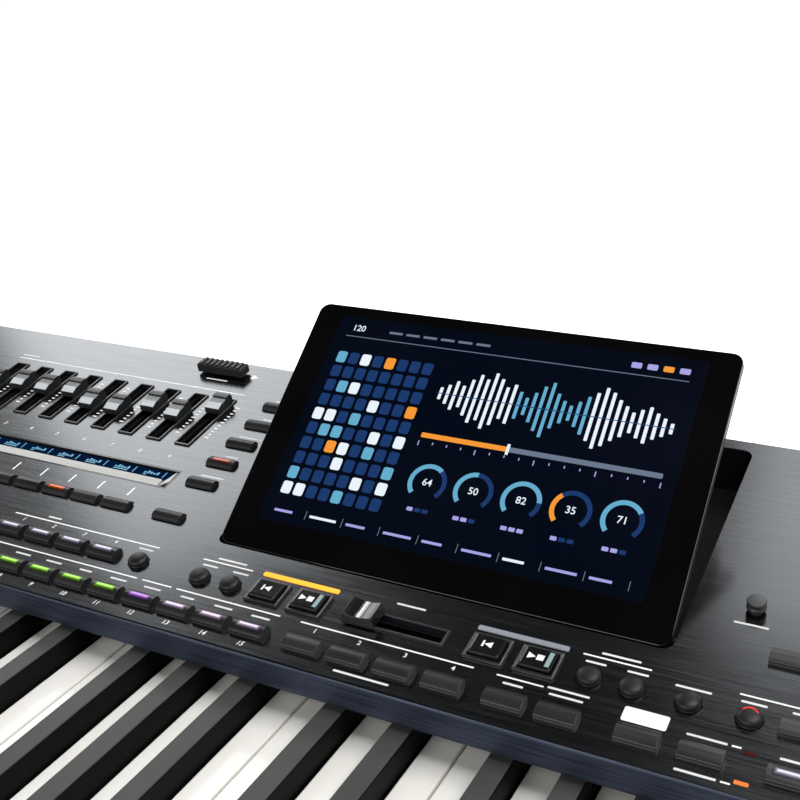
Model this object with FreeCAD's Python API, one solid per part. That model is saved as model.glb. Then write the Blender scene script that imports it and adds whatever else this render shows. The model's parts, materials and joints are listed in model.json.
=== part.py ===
import FreeCAD, Part

import math
import os

# Arranger keyboard with 61 keys, a tilting display and a sloped metal control panel.
# Millimetres. +X to the player's right, +Y to the rear, +Z up.
# The origin is on the floor, under the middle of the body.

# Fits and working values
CUT_OVERRUN = 1.0
SAME_PLACE = 0.001
RUNNING_CLEARANCE = 0.05
TRIM_CLEARANCE = 0.15
BUTTON_CLEARANCE = 0.4
GUIDE_CLEARANCE = 0.5

# Flat sides of turned pieces
BUTTON_SIDES = 10
KNOB_SIDES = 16
FOOT_SIDES = 12
STICK_SIDES = 16
SOCKET_SIDES = 12
NUT_SIDES = 6
BORE_SIDES = 8

# Floor pan and feet
FOOT_HEIGHT = 8.0
FOOT_RADIUS = 15.0
FOOT_EDGE = 1.6
FOOT_INSET_X = 70.0
FOOT_INSET_Y = 40.0
FLOOR_THICK = 2.5
VENT_COUNT = 6
VENT_WIDTH = 3.0
VENT_LENGTH = 46.0
VENT_PITCH = 9.0
VENT_OFFSET_X = 250.0

# End blocks, key slip and rear panel
LEFT_BLOCK = 155.3
RIGHT_BLOCK = 32.7
CHEEK_THICK = 14.0
CHEEK_PROUD = 1.5
CHEEK_NOSE_RADIUS = 12.0
CHEEK_TAIL_RADIUS = 8.0
DECK_WALL = 3.0
DECK_ROOF = 6.0
DECK_TUCK = 6.0
LEDGE_WIDTH = 8.0
LEDGE_HEIGHT = 6.0
LEDGE_END_GAP = 14.0
SLIP_DEPTH = 22.0
SLIP_DROP = 6.0
SLIP_WALL = 3.0
SLIP_RADIUS = 9.0
REAR_INSET = 2.2
REAR_THICK = 2.0

# Keys
WHITE_COUNT = 36
NOTES_PER_OCTAVE = 7
KEY_PITCH = 23.5
KEY_GAP = 1.0
KEY_FRONT_GAP = 2.5
KEY_VISIBLE = 150.0
KEY_HEIGHT = 20.0
KEY_LIP = 2.0
KEY_LIP_THICK = 4.0
KEY_EDGE = 1.2
KEYBED_HEIGHT = 55.5
KEY_STEP_AHEAD = 18.0
BLACK_RISE = 10.3
BLACK_VISIBLE = 97.0
BLACK_BASE_WIDTH = 11.2
BLACK_TOP_WIDTH = 9.4
BLACK_NOSE_SLOPE = 9.0
BLACK_HEADROOM = 3.2
BLACK_TAIL = 10.0
BLACK_SKIRT = 14.0
PIVOT_BEHIND = 46.0
PIVOT_DROP = 11.0
PIVOT_RADIUS = 2.5
KEY_TAIL = 5.0
MIDDLE_OCTAVE_FIRST = 14
BLACK_LEAN_SHARES = {0: -0.12, 1: 0.12, 3: -0.15, 4: 0.0, 5: 0.15}
NOTE_NAMES = ("c", "d", "e", "f", "g", "a", "b")

# Key chassis and contact board
CHASSIS_THICK = 2.5
CHASSIS_WEB = 3.0
CHASSIS_FRONT_INSET = 24.0
CHASSIS_STOP_GAP = 13.0
BOARD_WEB_HEIGHT = 13.0
BOARD_WEB_NEAR = 70.0
BOARD_WEB_FAR = 20.0
BOARD_THICK = 1.6
BOARD_EDGE = 7.4
BOARD_END = 14.8

# Sloped control panel
PANEL_TILT_DEG = 10.5
PANEL_THICK = 2.0
BAND_HEIGHT = 11.5
FOLD_RADIUS = 1.5
PANEL_BOARD_DEPTH = 9.0
PANEL_POST = 5.0
FRONT_ROW_S = 12.4
SECOND_ROW_S = 33.6
THIRD_ROW_S = 65.7

# Display that tilts out of its well
DISPLAY_WIDTH = 205.5
DISPLAY_HEIGHT = 130.5
DISPLAY_RIM = 4.0
DISPLAY_BULGE = 12.0
DISPLAY_BULGE_INSET = 6.0
DISPLAY_BULGE_FOOT = 1.8
DISPLAY_CORNER = 5.0
GLASS_THICK = 1.5
LCD_WIDTH = 178.0
LCD_HEIGHT = 110.0
LCD_THICK = 2.0
LCD_RAISE = 4.5
REST_TILT_DEG = 28.5
DISPLAY_PROUD = 3.1
HINGE_UP = 5.0
HINGE_IN = 7.6
HINGE_RADIUS = 1.5
HINGE_ENGAGE = 14.0
WELL_FRONT_S = 57.0
WELL_SIDE_GAP = 1.2
WELL_END_GAP = 1.0
WELL_FRONT_GAP = 4.3
WELL_REAR_GAP = 0.3
WELL_WALL = 2.0
WELL_FLOOR_GAP = 5.0
WELL_REAR_SLANT = 8.5
NOTCH_COUNT = 4
NOTCH_WIDTH = 8.0
NOTCH_HEIGHT = 7.0
NOTCH_DEPTH = 1.2
NOTCH_PITCH = 22.0
NOTCH_FIRST = 45.0
NOTCH_DOWN = 6.0

# Rectangular push buttons
CAP_WIDTH = 14.8
CAP_DEPTH = 7.4
CAP_EDGE = 1.7
CAP_CROWN = 3.4
CAP_FLANGE = 1.2
CAP_FLANGE_THICK = 1.0
CAP_FLANGE_GAP = 0.3
CAP_TOP_SIDES = 3
STYLE_COUNT = 15
STYLE_PITCH = 18.64
STYLE_LAST_X = -56.1
PAD_COUNT = 4
PAD_PITCH = 18.8
PAD_LAST_X = -149.1
MODE_X = -136.3
MODE_COUNT = 5
MODE_PITCH = 17.5
MODE_FIRST_S = 92.7
SET_COUNT = 4
SET_PITCH = 20.34
SET_FIRST_X = -30.8
BOOK_X = 54.9
OWN_SETTING_X = 104.3
CATEGORY_X = 126.3
BANK_COLUMNS = 6
BANK_FIRST_X = 155.4
PAGE_COUNT = 4
PAGE_FIRST_X = 145.5

# Round buttons, transport buttons and light bars
ROUND_RADIUS = 4.5
ROUND_EDGE = 1.5
ROUND_CROWN = 3.3
ROUND_DOME_STEPS = 2
STOP_X = -129.4
PLAYER_NEAR_X = 79.8
PLAYER_FAR_X = 95.8
SEARCH_X = 116.3
SPLIT_X = 137.5
PLAYER_OFFSET_X = 50.3
PLAYER_CENTRE_X = -0.85
TRANSPORT_PITCH = 20.5
TRANSPORT_S = 34.7
FRAME_WIDTH = 16.2
FRAME_DEPTH = 13.8
FRAME_WALL = 1.2
FRAME_HEIGHT = 1.3
TRANSPORT_GAP = 0.5
TRANSPORT_RISE = 3.0
TRANSPORT_BEVEL = 0.6
LIGHT_BAR_WIDTH = 37.5
LIGHT_BAR_DEPTH = 2.4
LIGHT_BAR_S = 45.2
LIGHT_BAR_RISE = 0.4

# Sliders and the crossfader
SLIDER_COUNT = 9
SLIDER_PITCH = 18.69
SLIDER_LAST_X = -167.7
SLIDER_S = 141.3
SLOT_WIDTH = 7.6
SLOT_LENGTH = 43.5
RIM_WALL = 0.9
RIM_HEIGHT = 0.9
SLIDER_TRAVEL = 30.0
SLIDER_UP_SHARES = (0.5, 0.6, 0.58, 0.64, 0.40, 0.37, 0.65, 0.52, 0.92)
KNOB_WIDTH = 9.0
KNOB_LENGTH = 13.5
KNOB_HEIGHT = 5.2
KNOB_STEP_SHARES = ((-0.5, 0), (-0.34, 0.86), (-0.02, 1), (0.02, 0.8),
                    (0.2, 0.8), (0.24, 0.55), (0.4, 0.55), (0.5, 0))
KNOB_HOVER = 0.4
KNOB_STEM_WIDTH = 1.4
KNOB_STEM_LENGTH = 5.0
TRACK_WIDTH = 9.0
TRACK_LENGTH = 60.0
TRACK_TOP = 4.0
TRACK_SLOT_DEPTH = 4.0
CROSS_X = -1.1
CROSS_S = 34.7
CROSS_SLOT_WIDTH = 6.8
CROSS_KNOB_WIDTH = 15.5
CROSS_KNOB_LENGTH = 10.4
CROSS_KNOB_HEIGHT = 4.6
CROSS_DISH = 1.3
CROSS_TRAVEL = 28.0

# Long strip screen below the sliders
STRIP_RIGHT_X = -152.7
STRIP_END_MARGIN = 15.0
STRIP_FRONT_S = 84.0
STRIP_DEPTH = 14.6
STRIP_LIP = 0.8
STRIP_FRONT_BEVEL = 5.5
STRIP_END_BEVEL = 6.0
STRIP_REAR_BEVEL = 0.9
STRIP_SINK = 3.2
STRIP_SCREEN_THICK = 2.0

# Unlock knob, rear lock slide, dial and volume knob
UNLOCK_GAP = 21.85
UNLOCK_S = 88.5
UNLOCK_STEM_RADIUS = 2.7
UNLOCK_HEAD_RADIUS = 3.7
UNLOCK_NECK = 2.6
UNLOCK_HEAD = 2.8
UNLOCK_FLARE = 0.9
UNLOCK_EDGE = 0.6
LOCK_X = -187.7
LOCK_REAR_GAP = 12.0
LOCK_WIDTH = 30.0
LOCK_DEPTH = 8.0
LOCK_HEIGHT = 5.0
LOCK_HOVER = 1.2
LOCK_STEM_WIDTH = 8.0
LOCK_STEM_DEPTH = 3.0
LOCK_TRAVEL = 8.0
DIAL_X = 345.0
DIAL_S = 112.0
DIAL_RADIUS = 27.0
DIAL_HEIGHT = 9.0
DIAL_BEVEL = 2.0
DIAL_DIMPLE_RADIUS = 8.0
DIAL_DIMPLE_FLOOR = 3.0
DIAL_DIMPLE_DEPTH = 2.0
VOLUME_X = -430.0
VOLUME_S = 146.0
VOLUME_RADIUS = 9.0
VOLUME_HEIGHT = 14.0
VOLUME_TAPER = 1.1
SHAFT_RADIUS = 3.0
SHAFT_HOVER = 0.6
SHAFT_TAIL = 8.0
SHAFT_CLIP = 1.6
SHAFT_CLIP_GAP = 0.3

# Joystick on the left deck
STICK_INSET_X = 78.0
STICK_INSET_Y = 78.0
STICK_DOME_RADIUS = 26.0
STICK_DOME_WALL = 1.8
STICK_CENTRE_DROP = 14.0
STICK_DOME_CUT = 6.5
STICK_DOME_STEPS = 3
STICK_HOLE_GAP = 0.5
STICK_NECK_RADIUS = 4.0
STICK_NECK_TOP = 44.0
STICK_GRIP_RADIUS = 8.0
STICK_GRIP_HEIGHT = 16.0
STICK_GRIP_EDGE = 2.0
GIMBAL_HALF = 15.0
GIMBAL_WALL = 4.0
GIMBAL_HEIGHT = 8.0
GIMBAL_PIN_RADIUS = 2.0
STICK_BOSS_HALF = 6.0
EAR_GAP = 0.8
EAR_THICK = 3.0
EAR_WIDTH = 9.0
BRACKET_DROP = 14.0
BRACKET_THICK = 2.5
BRACKET_HALF = 32.0
BRACKET_POST = 5.0

# Rear sockets, mains inlet and power rocker
SOCKET_Z = 46.0
JACK_COUNT = 4
JACK_FIRST_X = 40.0
JACK_PITCH = 34.0
JACK_RADIUS = 4.6
JACK_BORE_RADIUS = 3.25
JACK_BORE_DEPTH = 18.0
JACK_LENGTH = 24.0
JACK_NUT_RADIUS = 6.6
JACK_NUT_THICK = 2.0
DIN_COUNT = 2
DIN_FIRST_X = -180.0
DIN_PITCH = 30.0
DIN_RADIUS = 7.6
DIN_WALL = 1.0
DIN_RECESS = 8.0
DIN_LENGTH = 14.0
INLET_X = -420.0
INLET_WIDTH = 28.0
INLET_HEIGHT = 20.0
INLET_FLANGE = 4.0
INLET_FLANGE_THICK = 1.6
INLET_LENGTH = 24.0
INLET_RECESS = 16.0
INLET_WALL = 2.2
BLADE_WIDTH = 4.0
BLADE_THICK = 2.0
BLADE_LENGTH = 11.0
BLADE_SPREAD = 7.0
ROCKER_X = -465.0
ROCKER_WIDTH = 13.0
ROCKER_HALF = 9.2
ROCKER_TIP = 0.9
ROCKER_VALLEY = -0.7
ROCKER_BACK = 9.0
ROCKER_BACK_HALF = 5.0
ROCKER_PIVOT_IN = 4.0
ROCKER_TILT_DEG = 8.0
ROCKER_GAP = 0.7
ROCKER_PIN_RADIUS = 1.5
ROCKER_BEZEL_WALL = 1.8

# Boards and power supply inside
MAIN_BOARD_WIDTH = 240.0
MAIN_BOARD_DEPTH = 90.0
MAIN_BOARD_X = 160.0
MAIN_BOARD_FORWARD = 14.3987
MAIN_BOARD_RAISE = 8.0
SUPPLY_X = -330.0
SUPPLY_WIDTH = 130.0
SUPPLY_DEPTH = 80.0
SUPPLY_HEIGHT = 34.0

# Worked-out sizes of the whole body
KEYS_WIDTH = WHITE_COUNT * KEY_PITCH
BODY_WIDTH = LEFT_BLOCK + KEYS_WIDTH + RIGHT_BLOCK
BODY_HALF = BODY_WIDTH / 2
INNER_HALF = BODY_HALF - CHEEK_THICK
KEYS_LEFT = LEFT_BLOCK - BODY_HALF
KEYS_RIGHT = KEYS_LEFT + KEYS_WIDTH
TILT = math.radians(PANEL_TILT_DEG)
WELL_LENGTH = DISPLAY_HEIGHT + WELL_FRONT_GAP + WELL_END_GAP
WELL_REAR_S = WELL_FRONT_S + WELL_LENGTH
REAR_REACH = REAR_INSET + REAR_THICK + WELL_REAR_GAP + PANEL_THICK * math.sin(TILT)
PANEL_RUN = WELL_REAR_S + WELL_WALL + REAR_REACH / math.cos(TILT)
FRONT_DEPTH = SLIP_DEPTH + KEY_FRONT_GAP + KEY_VISIBLE
BODY_DEPTH = FRONT_DEPTH + PANEL_RUN * math.cos(TILT)
FRONT_Y = -BODY_DEPTH / 2
REAR_Y = BODY_DEPTH / 2
FOLD_Y = FRONT_Y + FRONT_DEPTH
FLOOR_TOP = FOOT_HEIGHT + FLOOR_THICK
WHITE_TOP = FLOOR_TOP + KEYBED_HEIGHT
BLACK_TOP = WHITE_TOP + BLACK_RISE
BAND_BOTTOM = BLACK_TOP + BLACK_HEADROOM
FOLD_Z = BAND_BOTTOM + BAND_HEIGHT
DECK_TOP = BAND_BOTTOM
KEY_FRONT = FOLD_Y - KEY_VISIBLE
PIVOT_Y = FOLD_Y + PIVOT_BEHIND
PIVOT_Z = WHITE_TOP - PIVOT_DROP
REAR_OUTER_Y = REAR_Y - REAR_INSET
REAR_INNER_Y = REAR_OUTER_Y - REAR_THICK
WELL_HALF = DISPLAY_WIDTH / 2 + WELL_SIDE_GAP
WELL_DEPTH = DISPLAY_RIM + DISPLAY_BULGE - DISPLAY_PROUD + WELL_FLOOR_GAP
HINGE_S = WELL_FRONT_S + WELL_FRONT_GAP + HINGE_UP
HINGE_H = DISPLAY_PROUD - HINGE_IN
UNLOCK_X = WELL_HALF + WELL_WALL + UNLOCK_GAP
LOCK_S = PANEL_RUN - LOCK_REAR_GAP
STRIP_LEFT_X = SLIDER_LAST_X - (SLIDER_COUNT - 1) * SLIDER_PITCH - STRIP_END_MARGIN
CHASSIS_REAR_Y = PIVOT_Y + PIVOT_RADIUS
MAIN_BOARD_Y = (CHASSIS_REAR_Y + REAR_INNER_Y) / 2 - MAIN_BOARD_FORWARD
STICK_X = KEYS_LEFT - STICK_INSET_X
STICK_Y = FOLD_Y - STICK_INSET_Y
STICK_Z = DECK_TOP - STICK_CENTRE_DROP
PANEL_PLACE = FreeCAD.Placement(
    FreeCAD.Vector(0, FOLD_Y, FOLD_Z), FreeCAD.Rotation(FreeCAD.Vector(1, 0, 0), PANEL_TILT_DEG))

X_AXIS = FreeCAD.Vector(1, 0, 0)
Y_AXIS = FreeCAD.Vector(0, 1, 0)
Z_AXIS = FreeCAD.Vector(0, 0, 1)


def point(x, y, z):
    return FreeCAD.Vector(x, y, z)


def block(low, high):
    """Box between two opposite corners."""
    size = [b - a for a, b in zip(low, high)]
    return Part.makeBox(*size, point(*low))


def plate(centre, width, depth, low, high):
    """Box about a centre in X and Y, between two heights."""
    x, y = centre
    return block((x - width / 2, y - depth / 2, low), (x + width / 2, y + depth / 2, high))


def profile_x(points, left, right):
    """Closed outline of (y, z) points, drawn out along X."""
    loop = [point(left, y, z) for y, z in points]
    face = Part.Face(Part.makePolygon(loop + loop[:1]))
    return face.extrude(point(right - left, 0, 0))


def turned(points, sides):
    """Outline of (radius, z) points that starts and ends on the axis, turned about Z in flat sides."""
    turns = [2 * math.pi * i / sides for i in range(sides + 1)]
    faces = []
    for (r_a, z_a), (r_b, z_b) in zip(points, points[1:]):
        for start, end in zip(turns, turns[1:]):
            corners = [(r_a, start, z_a), (r_a, end, z_a), (r_b, end, z_b), (r_b, start, z_b)]
            if r_a == 0:
                corners.pop(0)
            if r_b == 0:
                corners.pop()
            loop = [point(r * math.cos(turn), r * math.sin(turn), z) for r, turn, z in corners]
            faces.append(Part.Face(Part.makePolygon(loop + loop[:1])))
    return Part.Solid(Part.Shell(faces)).removeSplitter()


def across_flats(radius, sides):
    """Corner radius of a flat-sided hole that a circle just fits in."""
    return radius / math.cos(math.pi / sides)


def prism_z(radius, sides, low, high):
    return turned([(0, low), (radius, low), (radius, high), (0, high)], sides)


def bore(pin_radius, start, length, along):
    """Flat-sided hole that a round pin turns in."""
    hole = prism_z(across_flats(pin_radius + RUNNING_CLEARANCE, BORE_SIDES), BORE_SIDES, 0, length)
    hole.Placement = FreeCAD.Placement(start, FreeCAD.Rotation(Z_AXIS, along))
    return hole


def rounded_box(low, high, radius):
    """Box whose four upright edges are rounded."""
    body = block(low, high)
    upright = [e for e in body.Edges if e.tangentAt(e.FirstParameter).isParallel(Z_AXIS, SAME_PLACE)]
    return body.makeFillet(radius, upright)


def on_panel(shape):
    """Set a shape made on a level panel onto the sloped one."""
    placed = shape.copy()
    placed.Placement = PANEL_PLACE.multiply(placed.Placement)
    return placed


def moved(shape, x, y, z):
    return shape.translated(point(x, y, z))


def save(node, shapes):
    """Write one node's solids."""
    solids = shapes if isinstance(shapes, list) else [shapes]
    shape = solids[0] if len(solids) == 1 else Part.makeCompound(solids)
    shape.exportStep("parts/" + node + ".step")


# Places of the panel's controls, as (x, distance up the slope)
def row(first_x, pitch, count, s):
    return [(first_x + i * pitch, s) for i in range(count)]


def style_places():
    first = STYLE_LAST_X - (STYLE_COUNT - 1) * STYLE_PITCH
    first_pad = PAD_LAST_X - (PAD_COUNT - 1) * PAD_PITCH
    pads = row(first_pad, PAD_PITCH, PAD_COUNT, SECOND_ROW_S)
    return row(first, STYLE_PITCH, STYLE_COUNT, FRONT_ROW_S) + pads


def control_places():
    column = [(MODE_X, MODE_FIRST_S + i * MODE_PITCH) for i in range(MODE_COUNT)]
    first = SLIDER_LAST_X - (SLIDER_COUNT - 1) * SLIDER_PITCH
    return row(first, SLIDER_PITCH, SLIDER_COUNT, THIRD_ROW_S) + [(MODE_X, THIRD_ROW_S)] + column


def set_places():
    singles = [(x, FRONT_ROW_S) for x in (BOOK_X, BOOK_X + SET_PITCH, OWN_SETTING_X, CATEGORY_X)]
    banks = []
    for s in (FRONT_ROW_S, SECOND_ROW_S):
        banks += row(BANK_FIRST_X, STYLE_PITCH, BANK_COLUMNS, s)
    pages = row(PAGE_FIRST_X, STYLE_PITCH, PAGE_COUNT, THIRD_ROW_S)
    return row(SET_FIRST_X, SET_PITCH, SET_COUNT, FRONT_ROW_S) + singles + banks + pages


def round_places():
    players = (-PLAYER_FAR_X, -PLAYER_NEAR_X, PLAYER_NEAR_X, PLAYER_FAR_X)
    return [(x, SECOND_ROW_S) for x in (STOP_X, *players, SEARCH_X, SPLIT_X)]


def player_centres():
    return [PLAYER_CENTRE_X + side * PLAYER_OFFSET_X for side in (-1, 1)]


def transport_places():
    return [(x + side * TRANSPORT_PITCH / 2, TRANSPORT_S) for x in player_centres() for side in (-1, 1)]


def slider_x(index):
    return SLIDER_LAST_X - (SLIDER_COUNT - 1 - index) * SLIDER_PITCH


# Body
def bottom_case():
    floor = block((-INNER_HALF, FRONT_Y, FOOT_HEIGHT), (INNER_HALF, REAR_OUTER_Y, FLOOR_TOP))
    cuts = []
    low = FOOT_HEIGHT - CUT_OVERRUN
    high = FLOOR_TOP + CUT_OVERRUN
    for side in (-1, 1):
        for i in range(VENT_COUNT):
            x = side * VENT_OFFSET_X + (i - (VENT_COUNT - 1) / 2) * VENT_PITCH
            cuts.append(plate((x, MAIN_BOARD_Y), VENT_WIDTH, VENT_LENGTH, low, high))
    return floor.cut(cuts)


def rubber_feet():
    foot = turned([(0, 0), (FOOT_RADIUS - FOOT_EDGE, 0), (FOOT_RADIUS, FOOT_EDGE),
                   (FOOT_RADIUS, FOOT_HEIGHT), (0, FOOT_HEIGHT)], FOOT_SIDES)
    xs = (FOOT_INSET_X - BODY_HALF, 0, BODY_HALF - FOOT_INSET_X)
    ys = (FRONT_Y + FOOT_INSET_Y, REAR_Y - FOOT_INSET_Y)
    return [moved(foot, x, y, 0) for x in xs for y in ys]


def cheek(side):
    """Outer side wall with its rounded nose and a ledge under the panel's edge."""
    crest = FOLD_Z + CHEEK_PROUD
    tail = crest + PANEL_RUN * math.sin(TILT)
    outline = [(FRONT_Y, FOOT_HEIGHT), (FRONT_Y, DECK_TOP), (FOLD_Y, DECK_TOP), (FOLD_Y, crest),
               (REAR_Y, tail), (REAR_Y, FOOT_HEIGHT)]
    x_low, x_high = sorted((side * INNER_HALF, side * BODY_HALF))
    wall = profile_x(outline, x_low, x_high)
    wall = wall.makeFillet(CHEEK_NOSE_RADIUS, edges_at(wall, FRONT_Y, DECK_TOP))
    wall = wall.makeFillet(CHEEK_TAIL_RADIUS, edges_at(wall, REAR_Y, tail))
    ledge_x = sorted((side * INNER_HALF, side * (INNER_HALF - LEDGE_WIDTH)))
    ledge = on_panel(block((ledge_x[0], LEDGE_END_GAP, -PANEL_THICK - LEDGE_HEIGHT),
                           (ledge_x[1], PANEL_RUN - LEDGE_END_GAP, -PANEL_THICK)))
    return wall.fuse(ledge)


def edges_at(shape, y, z):
    """Edges along X that pass through a (y, z) corner."""
    return [e for e in shape.Edges
            if abs(e.CenterOfMass.y - y) < SAME_PLACE and abs(e.CenterOfMass.z - z) < SAME_PLACE]


def deck(left, right):
    """Open-bottomed box beside the keys, level with the foot of the panel's front band."""
    outer = block((left, FRONT_Y, FLOOR_TOP), (right, FOLD_Y + DECK_TUCK, DECK_TOP))
    outer = outer.makeFillet(CHEEK_NOSE_RADIUS, edges_at(outer, FRONT_Y, DECK_TOP))
    inner = block((left + DECK_WALL, FRONT_Y + DECK_WALL, FLOOR_TOP - CUT_OVERRUN),
                  (right - DECK_WALL, FOLD_Y + DECK_TUCK - DECK_WALL, DECK_TOP - DECK_ROOF))
    return outer.cut(inner)


def left_end_block():
    shell = deck(-INNER_HALF, KEYS_LEFT)
    hole = moved(joystick_hole(), STICK_X, STICK_Y, STICK_Z)
    return cheek(-1).fuse([shell.cut(hole), joystick_bracket()]).removeSplitter()


def joystick_hole():
    """Opening through the deck's roof that widens downwards with the dome."""
    reach = STICK_DOME_RADIUS + STICK_HOLE_GAP
    high = STICK_CENTRE_DROP
    low = high - DECK_ROOF
    wide, narrow = [across_flats(math.sqrt(reach ** 2 - z ** 2), STICK_SIDES) for z in (low, high)]
    return turned([(0, low - CUT_OVERRUN), (wide, low - CUT_OVERRUN), (wide, low), (narrow, high),
                   (narrow, high + CUT_OVERRUN), (0, high + CUT_OVERRUN)], STICK_SIDES)


def joystick_bracket():
    """Plate hung under the deck, with two ears that carry the gimbal."""
    top = STICK_Z - BRACKET_DROP
    base = plate((STICK_X, STICK_Y), 2 * BRACKET_HALF, 2 * BRACKET_HALF, top - BRACKET_THICK, top)
    pieces = []
    offset = BRACKET_HALF - BRACKET_POST / 2
    roof = DECK_TOP - DECK_ROOF
    for sx in (-1, 1):
        for sy in (-1, 1):
            centre = (STICK_X + sx * offset, STICK_Y + sy * offset)
            pieces.append(plate(centre, BRACKET_POST, BRACKET_POST, top - BRACKET_THICK, roof))
    for sy in (-1, 1):
        ear_y = STICK_Y + sy * (GIMBAL_HALF + EAR_GAP + EAR_THICK / 2)
        ear_top = STICK_Z + EAR_WIDTH / 2
        pieces.append(plate((STICK_X, ear_y), EAR_WIDTH, EAR_THICK, top - BRACKET_THICK, ear_top))
    reach = GIMBAL_HALF + EAR_GAP + EAR_THICK + CUT_OVERRUN
    start = point(STICK_X, STICK_Y - reach, STICK_Z)
    return base.fuse(pieces).cut(bore(GIMBAL_PIN_RADIUS, start, 2 * reach, Y_AXIS))


def right_end_block():
    return cheek(1).fuse(deck(KEYS_RIGHT, INNER_HALF)).removeSplitter()


def key_slip():
    """Front rail, a hooked section open towards the keys."""
    top = WHITE_TOP - SLIP_DROP
    rear = FRONT_Y + SLIP_DEPTH
    inner = FRONT_Y + SLIP_WALL
    outline = [(FRONT_Y, FLOOR_TOP), (FRONT_Y, top), (rear, top), (rear, top - SLIP_WALL),
               (inner, top - SLIP_WALL - SLIP_RADIUS), (inner, FLOOR_TOP + SLIP_WALL),
               (rear, FLOOR_TOP + SLIP_WALL), (rear, FLOOR_TOP)]
    rail = profile_x(outline, KEYS_LEFT, KEYS_RIGHT)
    return rail.makeFillet(SLIP_RADIUS, edges_at(rail, FRONT_Y, top))


def socket_openings():
    """Cuts through the rear panel for the sockets, the inlet and the rocker."""
    through = (REAR_INNER_Y - CUT_OVERRUN, REAR_OUTER_Y + CUT_OVERRUN)
    jack = JACK_RADIUS + TRIM_CLEARANCE
    din = across_flats(DIN_RADIUS + TRIM_CLEARANCE, SOCKET_SIDES)
    cuts = [Part.makeCylinder(jack, through[1] - through[0], point(x, through[0], SOCKET_Z), Y_AXIS)
            for x in jack_xs()]
    cuts += [rear_prism(x, din, SOCKET_SIDES, *through) for x in din_xs()]
    half_w = INLET_WIDTH / 2 + TRIM_CLEARANCE
    half_h = INLET_HEIGHT / 2 + TRIM_CLEARANCE
    cuts.append(rear_block(INLET_X, half_w, half_h, *through))
    half_w, half_h = rocker_opening()
    grow = ROCKER_BEZEL_WALL + TRIM_CLEARANCE
    cuts.append(rear_block(ROCKER_X, half_w + grow, half_h + grow, *through))
    return cuts


def rear_panel():
    foot_of_slope = FOLD_Z - PANEL_THICK / math.cos(TILT)
    top = foot_of_slope + (REAR_INNER_Y - FOLD_Y) * math.tan(TILT)
    sheet = block((-INNER_HALF, REAR_INNER_Y, FLOOR_TOP), (INNER_HALF, REAR_OUTER_Y, top))
    return sheet.cut(socket_openings())


# Sloped panel and what is fixed to it
def top_panel():
    sheet = block((-INNER_HALF, 0, -PANEL_THICK), (INNER_HALF, PANEL_RUN, 0))
    low = -PANEL_THICK - CUT_OVERRUN
    high = CUT_OVERRUN
    cuts = [plate(place, CAP_WIDTH + 2 * BUTTON_CLEARANCE, CAP_DEPTH + 2 * BUTTON_CLEARANCE, low, high)
            for place in style_places() + control_places() + set_places()]
    cuts += [plate(place, FRAME_WIDTH - 2 * FRAME_WALL, FRAME_DEPTH - 2 * FRAME_WALL, low, high)
             for place in transport_places()]
    bar_width = LIGHT_BAR_WIDTH + 2 * TRIM_CLEARANCE
    bar_depth = LIGHT_BAR_DEPTH + 2 * TRIM_CLEARANCE
    cuts += [plate((x, LIGHT_BAR_S), bar_width, bar_depth, low, high) for x in player_centres()]
    cuts += [plate((slider_x(i), SLIDER_S), SLOT_WIDTH, SLOT_LENGTH, low, high)
             for i in range(SLIDER_COUNT)]
    cuts.append(plate((CROSS_X, CROSS_S), SLOT_LENGTH, CROSS_SLOT_WIDTH, low, high))
    strip_low = (STRIP_LEFT_X - TRIM_CLEARANCE, STRIP_FRONT_S - TRIM_CLEARANCE, low)
    strip_high = (STRIP_RIGHT_X + TRIM_CLEARANCE, STRIP_FRONT_S + STRIP_DEPTH + TRIM_CLEARANCE, high)
    cuts.append(block(strip_low, strip_high))
    well_low = (-WELL_HALF, WELL_FRONT_S, low)
    well_high = (WELL_HALF, WELL_REAR_S, high)
    cuts.append(rounded_box(well_low, well_high, DISPLAY_CORNER))
    lock_reach = LOCK_STEM_WIDTH + LOCK_TRAVEL + 2 * GUIDE_CLEARANCE
    lock_slot = LOCK_STEM_DEPTH + 2 * GUIDE_CLEARANCE
    cuts.append(plate((LOCK_X + LOCK_TRAVEL / 2, LOCK_S), lock_reach, lock_slot, low, high))
    holes = [(x, s, ROUND_RADIUS) for x, s in round_places()] + [(UNLOCK_X, UNLOCK_S, UNLOCK_STEM_RADIUS)]
    for x, s, radius in holes:
        hole = prism_z(across_flats(radius + BUTTON_CLEARANCE, BUTTON_SIDES), BUTTON_SIDES, low, high)
        cuts.append(moved(hole, x, s, 0))
    for x, s in ((DIAL_X, DIAL_S), (VOLUME_X, VOLUME_S)):
        cuts.append(bore(SHAFT_RADIUS, point(x, s, low), high - low, Z_AXIS))
    slope = on_panel(sheet.cut(cuts))
    inside = FOLD_Y + PANEL_THICK
    band = profile_x([(FOLD_Y, FOLD_Z), (FOLD_Y, BAND_BOTTOM), (inside, BAND_BOTTOM),
                      (inside, FOLD_Z + PANEL_THICK * math.tan(TILT))], -INNER_HALF, INNER_HALF)
    panel = slope.fuse(band).removeSplitter()
    return panel.makeFillet(FOLD_RADIUS, edges_at(panel, FOLD_Y, FOLD_Z))


def ring(centre, width, depth, wall, height):
    """Flat frame lying on the panel round an opening."""
    outer = plate(centre, width, depth, 0, height)
    inner = plate(centre, width - 2 * wall, depth - 2 * wall, -CUT_OVERRUN, height + CUT_OVERRUN)
    return outer.cut(inner)


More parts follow.
